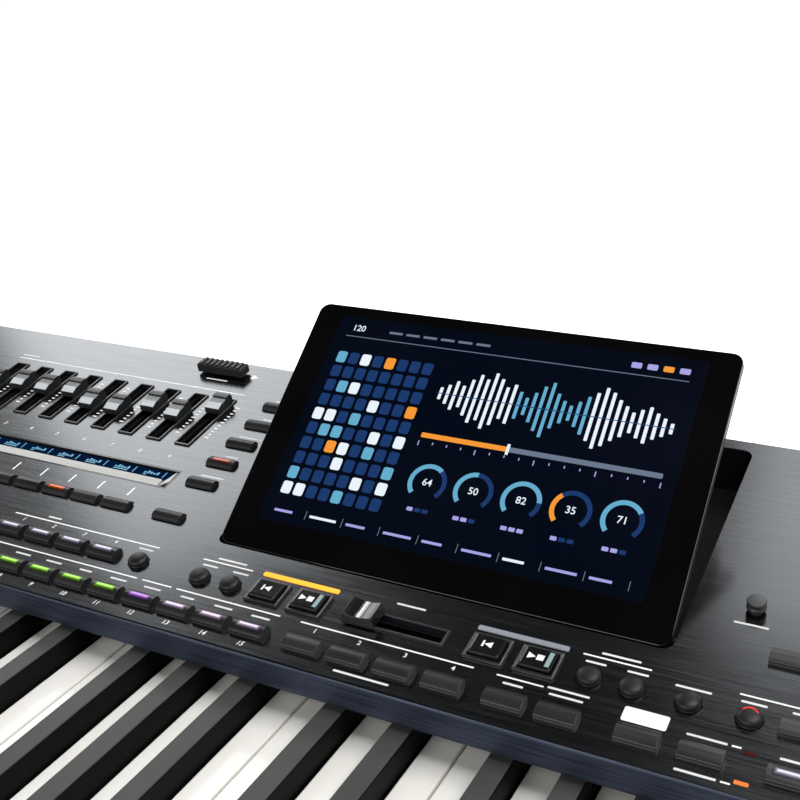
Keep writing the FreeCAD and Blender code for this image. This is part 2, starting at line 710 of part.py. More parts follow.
def slider_rims():
    width = SLOT_WIDTH + 2 * RIM_WALL
    length = SLOT_LENGTH + 2 * RIM_WALL
    rims = [ring((slider_x(i), SLIDER_S), width, length, RIM_WALL, RIM_HEIGHT) for i in range(SLIDER_COUNT)]
    rims.append(ring((CROSS_X, CROSS_S), length, CROSS_SLOT_WIDTH + 2 * RIM_WALL, RIM_WALL, RIM_HEIGHT))
    return [on_panel(rim) for rim in rims]


def transport_frames():
    frames = [ring(place, FRAME_WIDTH, FRAME_DEPTH, FRAME_WALL, FRAME_HEIGHT)
              for place in transport_places()]
    return [on_panel(frame) for frame in frames]


def light_bars():
    bars = []
    for x in player_centres():
        half = LIGHT_BAR_WIDTH / 2
        bar = block((x - half, LIGHT_BAR_S - LIGHT_BAR_DEPTH / 2, -PANEL_BOARD_DEPTH),
                    (x + half, LIGHT_BAR_S + LIGHT_BAR_DEPTH / 2, LIGHT_BAR_RISE))
        bars.append(on_panel(bar))
    return bars


def strip_screen_frame():
    """Bevelled surround that slopes down to the strip screen."""
    low = (STRIP_LEFT_X, STRIP_FRONT_S, -STRIP_SINK)
    high = (STRIP_RIGHT_X, STRIP_FRONT_S + STRIP_DEPTH, 0)
    frame = block(low, high)
    mouth = rectangle(STRIP_LEFT_X + STRIP_LIP, STRIP_RIGHT_X - STRIP_LIP,
                      STRIP_FRONT_S + STRIP_LIP, STRIP_FRONT_S + STRIP_DEPTH - STRIP_LIP, 0)
    rear = STRIP_FRONT_S + STRIP_DEPTH - STRIP_LIP - STRIP_REAR_BEVEL
    throat = rectangle(STRIP_LEFT_X + STRIP_END_BEVEL, STRIP_RIGHT_X - STRIP_END_BEVEL,
                       STRIP_FRONT_S + STRIP_FRONT_BEVEL, rear, -STRIP_SINK)
    return on_panel(frame.cut(Part.makeLoft([throat, mouth], True, True)))


def rectangle(left, right, front, rear, z):
    corners = [(left, front), (right, front), (right, rear), (left, rear), (left, front)]
    return Part.makePolygon([point(x, y, z) for x, y in corners])


def strip_screen():
    return on_panel(block((STRIP_LEFT_X, STRIP_FRONT_S, -STRIP_SINK - STRIP_SCREEN_THICK),
                          (STRIP_RIGHT_X, STRIP_FRONT_S + STRIP_DEPTH, -STRIP_SINK)))


def fader_tracks():
    """Slide controls under the slots, each with a groove for the lever."""
    tracks = []
    places = [(slider_x(i), SLIDER_S, False) for i in range(SLIDER_COUNT)] + [(CROSS_X, CROSS_S, True)]
    for x, s, across in places:
        body = plate((0, 0), TRACK_WIDTH, TRACK_LENGTH, -PANEL_BOARD_DEPTH, -TRACK_TOP)
        groove_width = KNOB_STEM_WIDTH + 2 * GUIDE_CLEARANCE
        groove_length = SLIDER_TRAVEL + KNOB_STEM_LENGTH + 2 * CUT_OVERRUN
        groove = plate((0, 0), groove_width, groove_length, -TRACK_TOP - TRACK_SLOT_DEPTH, CUT_OVERRUN)
        track = body.cut(groove)
        if across:
            track.rotate(point(0, 0, 0), Z_AXIS, 90)
        tracks.append(on_panel(moved(track, x, s, 0)))
    return tracks


# Push buttons
def crown_points(half, edge, crown, first, last, count):
    """Points on a crowned top's arc, between two shares of its half angle."""
    drop = crown - edge
    radius = (half ** 2 + drop ** 2) / (2 * drop)
    widest = math.asin(half / radius)
    angles = [widest * (first + (last - first) * i / count) for i in range(count + 1)]
    return [(radius * math.sin(a), crown - radius * (1 - math.cos(a))) for a in angles]


def rectangular_button():
    """Barrel-topped cap, kept in by a barb under the panel."""
    half = CAP_DEPTH / 2
    flange_top = -PANEL_THICK - CAP_FLANGE_GAP
    side = [(half, flange_top), (half + CAP_FLANGE, flange_top - CAP_FLANGE_THICK)]
    far_side = [(-s, h) for s, h in reversed(side)]
    outline = crown_points(half, CAP_EDGE, CAP_CROWN, -1, 1, CAP_TOP_SIDES) + side + far_side
    return profile_x(outline, -CAP_WIDTH / 2, CAP_WIDTH / 2)


def button_bank(places):
    cap = rectangular_button()
    return [on_panel(moved(cap, x, s, 0)) for x, s in places]


def round_buttons():
    """Domed caps, kept in by a barb under the panel."""
    flange_top = -PANEL_THICK - CAP_FLANGE_GAP
    flange_low = flange_top - CAP_FLANGE_THICK
    skirt = [(0, flange_low), (ROUND_RADIUS + CAP_FLANGE, flange_low), (ROUND_RADIUS, flange_top)]
    dome = crown_points(ROUND_RADIUS, ROUND_EDGE, ROUND_CROWN, 1, 0, ROUND_DOME_STEPS)
    cap = turned(skirt + dome, BUTTON_SIDES)
    return [on_panel(moved(cap, x, s, 0)) for x, s in round_places()]


def transport_buttons():
    width = FRAME_WIDTH - 2 * FRAME_WALL - 2 * TRANSPORT_GAP
    depth = FRAME_DEPTH - 2 * FRAME_WALL - 2 * TRANSPORT_GAP
    flange_top = -PANEL_THICK - CAP_FLANGE_GAP
    cap = plate((0, 0), width, depth, flange_top - CAP_FLANGE_THICK, TRANSPORT_RISE)
    top = [e for e in cap.Edges if e.CenterOfMass.z > TRANSPORT_RISE - TRANSPORT_BEVEL]
    cap = cap.makeChamfer(TRANSPORT_BEVEL, top)
    flange = plate((0, 0), width + 2 * CAP_FLANGE, depth + 2 * CAP_FLANGE,
                   flange_top - CAP_FLANGE_THICK, flange_top)
    button = cap.fuse(flange).removeSplitter()
    return [on_panel(moved(button, x, s, 0)) for x, s in transport_places()]


# Sliding and turning controls
def slider_cap(index):
    """Stepped finger cap on a flat lever, at its photographed place in the slot."""
    low = RIM_HEIGHT + KNOB_HOVER
    outline = [(y_share * KNOB_LENGTH, low + z_share * KNOB_HEIGHT)
               for y_share, z_share in KNOB_STEP_SHARES]
    cap = profile_x(outline, -KNOB_WIDTH / 2, KNOB_WIDTH / 2)
    lever_low = -TRACK_TOP - TRACK_SLOT_DEPTH + KNOB_HOVER
    lever = plate((0, 0), KNOB_STEM_WIDTH, KNOB_STEM_LENGTH, lever_low, low)
    up = (SLIDER_UP_SHARES[index] - 1 / 2) * SLIDER_TRAVEL
    return on_panel(moved(cap.fuse(lever), slider_x(index), SLIDER_S + up, 0))


def crossfader_cap():
    """Finger cap with a dished top, at the left end of its slot."""
    low = RIM_HEIGHT + KNOB_HOVER
    half = CROSS_KNOB_WIDTH / 2
    top = low + CROSS_KNOB_HEIGHT
    shoulder = half - CROSS_DISH
    front = -CROSS_KNOB_LENGTH / 2
    outline = ((-shoulder, top), (-half, low), (half, low), (shoulder, top))
    corners = [point(x, front, z) for x, z in outline]
    dish = Part.Arc(corners[-1], point(0, front, top - CROSS_DISH), corners[0]).toShape()
    edges = [Part.makeLine(a, b) for a, b in zip(corners, corners[1:])] + [dish]
    cap = Part.Face(Part.Wire(edges)).extrude(point(0, CROSS_KNOB_LENGTH, 0))
    lever_low = -TRACK_TOP - TRACK_SLOT_DEPTH + KNOB_HOVER
    lever = plate((0, 0), KNOB_STEM_LENGTH, KNOB_STEM_WIDTH, lever_low, low)
    return on_panel(moved(cap.fuse(lever), CROSS_X - CROSS_TRAVEL / 2, CROSS_S, 0))


def unlock_knob():
    """Mushroom push knob, kept in by a barb under the panel."""
    collar_top = -PANEL_THICK - CAP_FLANGE_GAP
    collar_low = collar_top - CAP_FLANGE_THICK
    collar = UNLOCK_STEM_RADIUS + BUTTON_CLEARANCE + CAP_FLANGE
    top = UNLOCK_NECK + UNLOCK_HEAD
    rim = UNLOCK_NECK + UNLOCK_FLARE
    stem = UNLOCK_STEM_RADIUS
    head = UNLOCK_HEAD_RADIUS
    outline = [(0, collar_low), (collar, collar_low), (stem, collar_top), (stem, UNLOCK_NECK), (head, rim),
               (head, top - UNLOCK_EDGE), (head - UNLOCK_EDGE, top), (0, top)]
    return on_panel(moved(turned(outline, BUTTON_SIDES), UNLOCK_X, UNLOCK_S, 0))


def rear_lock_slide():
    """Finger slide near the panel's rear edge, held by a foot under its slot."""
    body = plate((0, 0), LOCK_WIDTH, LOCK_DEPTH, LOCK_HOVER, LOCK_HOVER + LOCK_HEIGHT)
    top = [e for e in body.Edges if e.CenterOfMass.z > LOCK_HOVER + LOCK_HEIGHT - TRANSPORT_BEVEL]
    body = body.makeChamfer(TRANSPORT_BEVEL, top)
    foot_top = -PANEL_THICK - CAP_FLANGE_GAP
    stem = plate((0, 0), LOCK_STEM_WIDTH, LOCK_STEM_DEPTH, foot_top, LOCK_HOVER)
    foot = plate((0, 0), LOCK_STEM_WIDTH, LOCK_DEPTH, foot_top - CAP_FLANGE_THICK, foot_top)
    return on_panel(moved(body.fuse([stem, foot]), LOCK_X, LOCK_S, 0))


def shaft():
    """Round shaft through the panel, with a square clip under it."""
    rod = Part.makeCylinder(SHAFT_RADIUS, SHAFT_TAIL + SHAFT_HOVER, point(0, 0, -SHAFT_TAIL))
    clip = 2 * (SHAFT_RADIUS + SHAFT_CLIP)
    return rod.fuse(plate((0, 0), clip, clip, -SHAFT_TAIL, -PANEL_THICK - SHAFT_CLIP_GAP))


def data_dial():
    """Flat wheel with a finger dimple."""
    top = SHAFT_HOVER + DIAL_HEIGHT
    wheel = turned([(0, SHAFT_HOVER), (DIAL_RADIUS, SHAFT_HOVER), (DIAL_RADIUS, top - DIAL_BEVEL),
                    (DIAL_RADIUS - DIAL_BEVEL, top), (0, top)], KNOB_SIDES)
    reach = DIAL_RADIUS - DIAL_DIMPLE_RADIUS - 2 * DIAL_BEVEL
    floor = top - DIAL_DIMPLE_DEPTH
    dimple = turned([(0, floor), (DIAL_DIMPLE_FLOOR, floor), (DIAL_DIMPLE_RADIUS, top),
                     (DIAL_DIMPLE_RADIUS, top + CUT_OVERRUN), (0, top + CUT_OVERRUN)], BUTTON_SIDES)
    dial = wheel.cut(moved(dimple, 0, reach, 0)).fuse(shaft()).removeSplitter()
    return on_panel(moved(dial, DIAL_X, DIAL_S, 0))


def volume_knob():
    """Tapered knob with a bevelled top."""
    top = SHAFT_HOVER + VOLUME_HEIGHT
    shoulder = VOLUME_RADIUS - VOLUME_TAPER
    cap = turned([(0, SHAFT_HOVER), (VOLUME_RADIUS, SHAFT_HOVER), (shoulder, top - VOLUME_TAPER),
                  (shoulder - VOLUME_TAPER, top), (0, top)], KNOB_SIDES)
    return on_panel(moved(cap.fuse(shaft()).removeSplitter(), VOLUME_X, VOLUME_S, 0))


# Display
def display_place(shape):
    """Set a display piece, made flat in its closed place, at its raised rest angle."""
    raised = shape.copy()
    raised.rotate(point(0, HINGE_S, HINGE_H), X_AXIS, REST_TILT_DEG)
    return on_panel(raised)


def display_frame():
    """Closed place of the display: left, right, bottom and top edge, and front face height."""
    bottom = WELL_FRONT_S + WELL_FRONT_GAP
    return -DISPLAY_WIDTH / 2, DISPLAY_WIDTH / 2, bottom, bottom + DISPLAY_HEIGHT, DISPLAY_PROUD


def display_glass():
    left, right, bottom, top, face = display_frame()
    low = (left, bottom, face - GLASS_THICK)
    return display_place(rounded_box(low, (right, top, face), DISPLAY_CORNER))


def lcd_window(grow):
    left, right, bottom, top, face = display_frame()
    middle = (bottom + top) / 2 + LCD_RAISE
    low = face - GLASS_THICK - LCD_THICK
    return (0, middle), LCD_WIDTH + grow, LCD_HEIGHT + grow, low, face - GLASS_THICK


def lcd_panel():
    return display_place(plate(*lcd_window(0)))


def display_housing():
    """Rear shell: a thin rim behind the glass and a narrower tapered back with the hinge bores."""
    left, right, bottom, top, face = display_frame()
    rim = rounded_box((left, bottom, face - DISPLAY_RIM), (right, top, face - GLASS_THICK), DISPLAY_CORNER)
    inset = DISPLAY_BULGE_INSET
    back = face - DISPLAY_RIM - DISPLAY_BULGE
    foot = bottom + DISPLAY_BULGE_FOOT
    near = rectangle(left + inset, right - inset, foot, top - inset, face - DISPLAY_RIM)
    far = rectangle(left + inset, right - inset, foot, top - 2 * inset, back)
    bulge = Part.makeLoft([far, near], True, True)
    pin_half = WELL_HALF + CUT_OVERRUN
    engage = DISPLAY_WIDTH / 2 - inset - HINGE_ENGAGE - CUT_OVERRUN
    bores = []
    for side in (-1, 1):
        start = min(side * engage, side * pin_half)
        bores.append(bore(HINGE_RADIUS, point(start, HINGE_S, HINGE_H), pin_half - engage, X_AXIS))
    pocket = plate(*lcd_window(2 * TRIM_CLEARANCE))
    return display_place(rim.fuse(bulge).cut(bores + [pocket]).removeSplitter())


def display_well():
    """Open tray under the panel, with a leaning rear wall and notches in both side walls."""
    foot = WELL_REAR_S - WELL_REAR_SLANT
    low = -WELL_DEPTH - WELL_WALL
    front = WELL_FRONT_S - WELL_WALL
    outer = profile_x([(front, low), (front, -PANEL_THICK), (WELL_REAR_S + WELL_WALL, -PANEL_THICK),
                       (foot + WELL_WALL, low)], -WELL_HALF - WELL_WALL, WELL_HALF + WELL_WALL)
    inner = profile_x([(WELL_FRONT_S, -WELL_DEPTH), (WELL_FRONT_S, CUT_OVERRUN), (WELL_REAR_S, CUT_OVERRUN),
                       (WELL_REAR_S, -PANEL_THICK), (foot, -WELL_DEPTH)], -WELL_HALF, WELL_HALF)
    cuts = [inner]
    for side in (-1, 1):
        start = min(side * (WELL_HALF - CUT_OVERRUN), side * (WELL_HALF + WELL_WALL + CUT_OVERRUN))
        cuts.append(bore(HINGE_RADIUS, point(start, HINGE_S, HINGE_H), WELL_WALL + 2 * CUT_OVERRUN, X_AXIS))
        x_low, x_high = sorted((side * (WELL_HALF - CUT_OVERRUN), side * (WELL_HALF + NOTCH_DEPTH)))
        for i in range(NOTCH_COUNT):
            s = WELL_FRONT_S + NOTCH_FIRST + i * NOTCH_PITCH
            notch_low = (x_low, s, -NOTCH_DOWN - NOTCH_HEIGHT)
            cuts.append(block(notch_low, (x_high, s + NOTCH_WIDTH, -NOTCH_DOWN)))
    return on_panel(outer.cut(cuts))


def display_hinge_pins():
    inner = DISPLAY_WIDTH / 2 - DISPLAY_BULGE_INSET - HINGE_ENGAGE
    length = WELL_HALF + WELL_WALL - inner
    pins = []
    for side in (-1, 1):
        start = min(side * inner, side * (inner + length))
        pin = Part.makeCylinder(HINGE_RADIUS, length, point(start, HINGE_S, HINGE_H), X_AXIS)
        pins.append(on_panel(pin))
    return pins


# Keys
def saddle(left, right):
    """Square-angled groove that rocks on the chassis ridge, touching it along two lines."""
    apex = PIVOT_Z + math.sqrt(2) * (PIVOT_RADIUS + RUNNING_CLEARANCE)
    open_low = PIVOT_Z - CUT_OVERRUN
    reach = apex - open_low
    outline = [(PIVOT_Y - reach, open_low), (PIVOT_Y, apex), (PIVOT_Y + reach, open_low)]
    return profile_x(outline, left, right)


def white_key(index):
    """One white key: lipped front, straight sides and notches for its black neighbours."""
    left = KEYS_LEFT + index * KEY_PITCH + KEY_GAP / 2
    right = left + KEY_PITCH - KEY_GAP
    low = WHITE_TOP - KEY_HEIGHT
    step = FOLD_Y - KEY_STEP_AHEAD
    tail = PIVOT_Y + KEY_TAIL
    outline = [(KEY_FRONT, WHITE_TOP), (tail, WHITE_TOP), (tail, PIVOT_Z), (step, PIVOT_Z),
               (step - KEY_STEP_AHEAD, low), (KEY_FRONT + KEY_LIP, low),
               (KEY_FRONT + KEY_LIP, WHITE_TOP - KEY_LIP_THICK), (KEY_FRONT, WHITE_TOP - KEY_LIP_THICK)]
    key = profile_x(outline, left, right)
    key = key.makeChamfer(KEY_EDGE, edges_at(key, KEY_FRONT, WHITE_TOP))
    cuts = [saddle(left - CUT_OVERRUN, right + CUT_OVERRUN)]
    for neighbour in (index - 1, index):
        if has_black(neighbour):
            centre = black_centre(neighbour)
            half = BLACK_BASE_WIDTH / 2 + KEY_GAP
            front = FOLD_Y - BLACK_VISIBLE - KEY_GAP
            cuts.append(block((centre - half, front, low - CUT_OVERRUN),
                              (centre + half, tail + CUT_OVERRUN, WHITE_TOP + CUT_OVERRUN)))
    return key.cut(cuts)


def has_black(index):
    """Whether a black key stands after this white key."""
    return 0 <= index < WHITE_COUNT - 1 and index % NOTES_PER_OCTAVE in BLACK_LEAN_SHARES


def black_centre(index):
    lean_share = BLACK_LEAN_SHARES[index % NOTES_PER_OCTAVE]
    return KEYS_LEFT + (index + 1 + lean_share) * KEY_PITCH


def black_key(index):
    """One black key: tapered cap with a sloped nose, on an arm to the pivot."""
    centre = black_centre(index)
    base = BLACK_BASE_WIDTH / 2
    crest = BLACK_TOP_WIDTH / 2
    front = FOLD_Y - BLACK_VISIBLE
    rear = FOLD_Y + BLACK_TAIL
    tail = PIVOT_Y + KEY_TAIL
    low = WHITE_TOP - BLACK_SKIRT
    outline = [(front, low), (front, WHITE_TOP), (front + BLACK_NOSE_SLOPE, BLACK_TOP), (rear, BLACK_TOP),
               (rear, WHITE_TOP), (tail, WHITE_TOP), (tail, PIVOT_Z), (rear, PIVOT_Z), (rear, low)]
    cuts = [saddle(centre - BLACK_BASE_WIDTH, centre + BLACK_BASE_WIDTH)]
    for side in (-1, 1):
        flank = [point(centre + side * x, front - CUT_OVERRUN, z)
                 for x, z in ((base, WHITE_TOP), (crest, BLACK_TOP), (base, BLACK_TOP))]
        wedge = Part.Face(Part.makePolygon(flank + flank[:1]))
        cuts.append(wedge.extrude(point(0, rear - front + 2 * CUT_OVERRUN, 0)))
    return profile_x(outline, centre - base, centre + base).cut(cuts)


def middle_octave():
    return range(MIDDLE_OCTAVE_FIRST, MIDDLE_OCTAVE_FIRST + NOTES_PER_OCTAVE)


def save_keys():
    """The middle octave is one node for each key, and the others are two groups."""
    others = [i for i in range(WHITE_COUNT) if i not in middle_octave()]
    for index in middle_octave():
        name = "key_" + NOTE_NAMES[index % NOTES_PER_OCTAVE]
        save(name, white_key(index))
        if has_black(index):
            save(name + "_sharp", black_key(index))
    save("white_keys", [white_key(i) for i in others])
    save("black_keys", [black_key(i) for i in others if has_black(i)])


def key_chassis():
    """Pressed frame: floor, front stop web, two board webs and the rear ridge that the keys rock on."""
    low = FLOOR_TOP
    front = KEY_FRONT + CHASSIS_FRONT_INSET
    stop = WHITE_TOP - KEY_HEIGHT - CHASSIS_STOP_GAP
    base = block((KEYS_LEFT, front, low), (KEYS_RIGHT, CHASSIS_REAR_Y, low + CHASSIS_THICK))
    webs = [block((KEYS_LEFT, front, low), (KEYS_RIGHT, front + CHASSIS_WEB, stop))]
    for distance in (BOARD_WEB_NEAR, BOARD_WEB_FAR):
        y = PIVOT_Y - distance
        webs.append(block((KEYS_LEFT, y, low), (KEYS_RIGHT, y + CHASSIS_WEB, low + BOARD_WEB_HEIGHT)))
    webs.append(block((KEYS_LEFT, PIVOT_Y - PIVOT_RADIUS, low),
                      (KEYS_RIGHT, CHASSIS_REAR_Y, PIVOT_Z)))
    webs.append(Part.makeCylinder(PIVOT_RADIUS, KEYS_WIDTH, point(KEYS_LEFT, PIVOT_Y, PIVOT_Z), X_AXIS))
    return base.fuse(webs).removeSplitter()


# Joystick
def joystick_gimbal():
    """Square ring that tips sideways, with stub pins along Y and a cross pin along X."""
    outer = plate((0, 0), 2 * GIMBAL_HALF, 2 * GIMBAL_HALF, -GIMBAL_HEIGHT / 2, GIMBAL_HEIGHT / 2)
    half = GIMBAL_HALF - GIMBAL_WALL
    inner = plate((0, 0), 2 * half, 2 * half, -GIMBAL_HEIGHT, GIMBAL_HEIGHT)
    reach = GIMBAL_HALF + EAR_GAP + EAR_THICK
    cross = Part.makeCylinder(GIMBAL_PIN_RADIUS, 2 * GIMBAL_HALF, point(-GIMBAL_HALF, 0, 0), X_AXIS)
    starts = [point(0, min(side * half, side * reach), 0) for side in (-1, 1)]
    stubs = [Part.makeCylinder(GIMBAL_PIN_RADIUS, reach - half, start, Y_AXIS) for start in starts]
    ring_body = outer.cut(inner).fuse([cross] + stubs).removeSplitter()
    return moved(ring_body, STICK_X, STICK_Y, STICK_Z)


def dome_points(radius):
    """Points of a dome's outline, from its cut rim up to the middle."""
    lowest = math.asin(STICK_DOME_CUT / radius)
    angles = [lowest + (math.pi / 2 - lowest) * i / STICK_DOME_STEPS for i in range(STICK_DOME_STEPS)]
    return [(radius * math.cos(a), radius * math.sin(a)) for a in angles] + [(0, radius)]


def joystick_lever():
    """Handle and dome shell that rock on the gimbal's cross pin."""
    outer = dome_points(STICK_DOME_RADIUS)
    inner = dome_points(STICK_DOME_RADIUS - STICK_DOME_WALL)
    dome = turned(inner[::-1] + outer, STICK_SIDES)
    neck = prism_z(STICK_NECK_RADIUS, BUTTON_SIDES, 0, STICK_NECK_TOP)
    boss = Part.makeBox(2 * STICK_BOSS_HALF, STICK_BOSS_HALF, 2 * STICK_BOSS_HALF,
                        point(-STICK_BOSS_HALF, -STICK_BOSS_HALF / 2, -STICK_BOSS_HALF))
    low = STICK_NECK_TOP - STICK_GRIP_HEIGHT / 2
    high = STICK_NECK_TOP + STICK_GRIP_HEIGHT / 2
    bevel = STICK_GRIP_EDGE
    rim = STICK_GRIP_RADIUS
    grip = turned([(0, low), (rim - bevel, low), (rim, low + bevel), (rim, high - bevel),
                   (rim - bevel, high), (0, high)], STICK_SIDES)
    cross = bore(GIMBAL_PIN_RADIUS, point(-2 * STICK_BOSS_HALF, 0, 0), 4 * STICK_BOSS_HALF, X_AXIS)
    lever = dome.fuse([neck, boss, grip]).cut(cross).removeSplitter()
    return moved(lever, STICK_X, STICK_Y, STICK_Z)


# Rear sockets and power entry
def jack_xs():
    return [JACK_FIRST_X + i * JACK_PITCH for i in range(JACK_COUNT)]


def din_xs():
    return [DIN_FIRST_X + i * DIN_PITCH for i in range(DIN_COUNT)]


def rear_sockets():
    """Phone jacks with their nuts, and round sockets with a deep recess."""
    sockets = []
    mouth = REAR_OUTER_Y + JACK_NUT_THICK
    for x in jack_xs():
        barrel = rear_prism(x, JACK_RADIUS, SOCKET_SIDES, mouth - JACK_LENGTH, mouth)
        nut = rear_prism(x, JACK_NUT_RADIUS, NUT_SIDES, REAR_OUTER_Y, mouth)
        throat = Part.makeCylinder(JACK_BORE_RADIUS, JACK_BORE_DEPTH + CUT_OVERRUN,
                                   point(x, mouth - JACK_BORE_DEPTH, SOCKET_Z), Y_AXIS)
        sockets.append(barrel.fuse(nut).cut(throat).removeSplitter())
    recess_radius = across_flats(DIN_RADIUS - DIN_WALL, SOCKET_SIDES)
    barrel_radius = across_flats(DIN_RADIUS, SOCKET_SIDES)
    for x in din_xs():
        barrel = rear_prism(x, barrel_radius, SOCKET_SIDES, REAR_OUTER_Y - DIN_LENGTH, REAR_OUTER_Y)
        recess = rear_prism(x, recess_radius, SOCKET_SIDES, REAR_OUTER_Y - DIN_RECESS,
                            REAR_OUTER_Y + CUT_OVERRUN)
        sockets.append(barrel.cut(recess))
    return sockets


def rear_prism(x, radius, sides, y_low, y_high):
    """Flat-sided bar along Y at the height of the sockets."""
    bar = prism_z(radius, sides, y_low, y_high)
    bar.rotate(point(0, 0, 0), X_AXIS, -90)
    return moved(bar, x, 0, SOCKET_Z)


def rear_block(x, half_w, half_h, y_low, y_high):
    return block((x - half_w, y_low, SOCKET_Z - half_h), (x + half_w, y_high, SOCKET_Z + half_h))


def rocker_opening():
    lean = math.radians(ROCKER_TILT_DEG)
    swing = ROCKER_HALF * math.cos(lean) + (ROCKER_TIP + ROCKER_PIVOT_IN) * math.sin(lean)
    return ROCKER_WIDTH / 2 + ROCKER_GAP, swing + ROCKER_GAP


def power_inlet():
    """Three-blade mains inlet beside the rocker's bezel."""
    half_w = INLET_WIDTH / 2
    half_h = INLET_HEIGHT / 2
    body = rear_block(INLET_X, half_w, half_h, REAR_OUTER_Y - INLET_LENGTH, REAR_OUTER_Y)
    face = REAR_OUTER_Y + INLET_FLANGE_THICK
    flange = rear_block(INLET_X, half_w + INLET_FLANGE, half_h + INLET_FLANGE, REAR_OUTER_Y, face)
    floor = face - INLET_RECESS
    recess = rear_block(INLET_X, half_w - INLET_WALL, half_h - INLET_WALL, floor, REAR_Y)
    blade = rear_block(INLET_X, BLADE_THICK / 2, BLADE_WIDTH / 2, floor, floor + BLADE_LENGTH)
    half = BLADE_WIDTH / 2
    shifts = ((-BLADE_SPREAD, -half), (0, half), (BLADE_SPREAD, -half))
    blades = [moved(blade, x, 0, z) for x, z in shifts]
    inlet = body.fuse(flange).cut(recess).fuse(blades).removeSplitter()
    return [inlet, rocker_bezel()]


def rocker_bezel():
    half_w, half_h = rocker_opening()
    wall = ROCKER_BEZEL_WALL
    back = REAR_OUTER_Y - ROCKER_BACK - ROCKER_PIVOT_IN
    sleeve = rear_block(ROCKER_X, half_w + wall, half_h + wall, back, REAR_OUTER_Y)
    face = REAR_OUTER_Y + INLET_FLANGE_THICK
    flange = rear_block(ROCKER_X, half_w + 2 * wall, half_h + 2 * wall, REAR_OUTER_Y, face)
    hole = rear_block(ROCKER_X, half_w, half_h, back - CUT_OVERRUN, REAR_Y)
    reach = half_w + wall + CUT_OVERRUN
    pivot = point(ROCKER_X - reach, REAR_OUTER_Y - ROCKER_PIVOT_IN, SOCKET_Z)
    cuts = [hole, bore(ROCKER_PIN_RADIUS, pivot, 2 * reach, X_AXIS)]
    return sleeve.fuse(flange).cut(cuts).removeSplitter()


def power_switch():
    """Rocker with a shallow V face, tipped to one side, on its own stub pins."""
    y = REAR_OUTER_Y
    z = SOCKET_Z
    outline = [(y + ROCKER_TIP, z - ROCKER_HALF), (y + ROCKER_VALLEY, z), (y + ROCKER_TIP, z + ROCKER_HALF),
               (y - ROCKER_PIVOT_IN, z + ROCKER_HALF), (y - ROCKER_BACK, z + ROCKER_BACK_HALF),
               (y - ROCKER_BACK, z - ROCKER_BACK_HALF), (y - ROCKER_PIVOT_IN, z - ROCKER_HALF)]
    half = ROCKER_WIDTH / 2
    rocker = profile_x(outline, ROCKER_X - half, ROCKER_X + half)
    reach = rocker_opening()[0] + ROCKER_BEZEL_WALL
    pivot = point(ROCKER_X - reach, y - ROCKER_PIVOT_IN, z)
    rocker = rocker.fuse(Part.makeCylinder(ROCKER_PIN_RADIUS, 2 * reach, pivot, X_AXIS)).removeSplitter()
    rocker.rotate(pivot, X_AXIS, -ROCKER_TILT_DEG)
    return rocker


# Electronics
def panel_board(left, right, front, rear):
    """Board hung under the panel on four posts."""
    low = -PANEL_BOARD_DEPTH - BOARD_THICK
    board = block((left, front, low), (right, rear, -PANEL_BOARD_DEPTH))
    half = PANEL_POST / 2
    posts = [plate((x, s), PANEL_POST, PANEL_POST, -PANEL_BOARD_DEPTH, -PANEL_THICK)
             for x in (left + half, right - half) for s in (front + half, rear - half)]
    return on_panel(board.fuse(posts).removeSplitter())


def circuit_boards():
    """Three boards under the panel, the keys' contact board and the main board."""
    left = STYLE_LAST_X - (STYLE_COUNT - 1) * STYLE_PITCH - BOARD_END
    right = BANK_FIRST_X + (BANK_COLUMNS - 1) * STYLE_PITCH + BOARD_END
    boards = [panel_board(left, right, FRONT_ROW_S - BOARD_EDGE, LIGHT_BAR_S + LIGHT_BAR_DEPTH)]
    side = WELL_HALF + WELL_WALL + PANEL_POST
    front = THIRD_ROW_S - BOARD_EDGE
    tracks_end = SLIDER_S + TRACK_LENGTH / 2
    pages_end = PAGE_FIRST_X + PAGE_COUNT * STYLE_PITCH
    boards.append(panel_board(STRIP_LEFT_X - BOARD_END, -side, front, tracks_end + BOARD_EDGE))
    boards.append(panel_board(side, pages_end, front, UNLOCK_S + BOARD_EDGE))
    top = FLOOR_TOP + BOARD_WEB_HEIGHT
    contacts_end = PIVOT_Y - BOARD_WEB_FAR + CHASSIS_WEB
    boards.append(block((KEYS_LEFT, PIVOT_Y - BOARD_WEB_NEAR, top),
                        (KEYS_RIGHT, contacts_end, top + BOARD_THICK)))
    low = FLOOR_TOP + MAIN_BOARD_RAISE
    main = plate((MAIN_BOARD_X, MAIN_BOARD_Y), MAIN_BOARD_WIDTH, MAIN_BOARD_DEPTH, low, low + BOARD_THICK)
    reach_x = (MAIN_BOARD_WIDTH - PANEL_POST) / 2
    reach_y = (MAIN_BOARD_DEPTH - PANEL_POST) / 2
    centres = [(MAIN_BOARD_X + sx * reach_x, MAIN_BOARD_Y + sy * reach_y)
               for sx in (-1, 1) for sy in (-1, 1)]
    posts = [plate(centre, PANEL_POST, PANEL_POST, FLOOR_TOP, low) for centre in centres]
    return boards + [main.fuse(posts).removeSplitter()]


def power_supply():
    box = plate((SUPPLY_X, MAIN_BOARD_Y), SUPPLY_WIDTH, SUPPLY_DEPTH, FLOOR_TOP, FLOOR_TOP + SUPPLY_HEIGHT)
    top = [e for e in box.Edges if e.CenterOfMass.z > FLOOR_TOP + SUPPLY_HEIGHT - TRANSPORT_BEVEL]
    return box.makeChamfer(TRANSPORT_BEVEL, top)


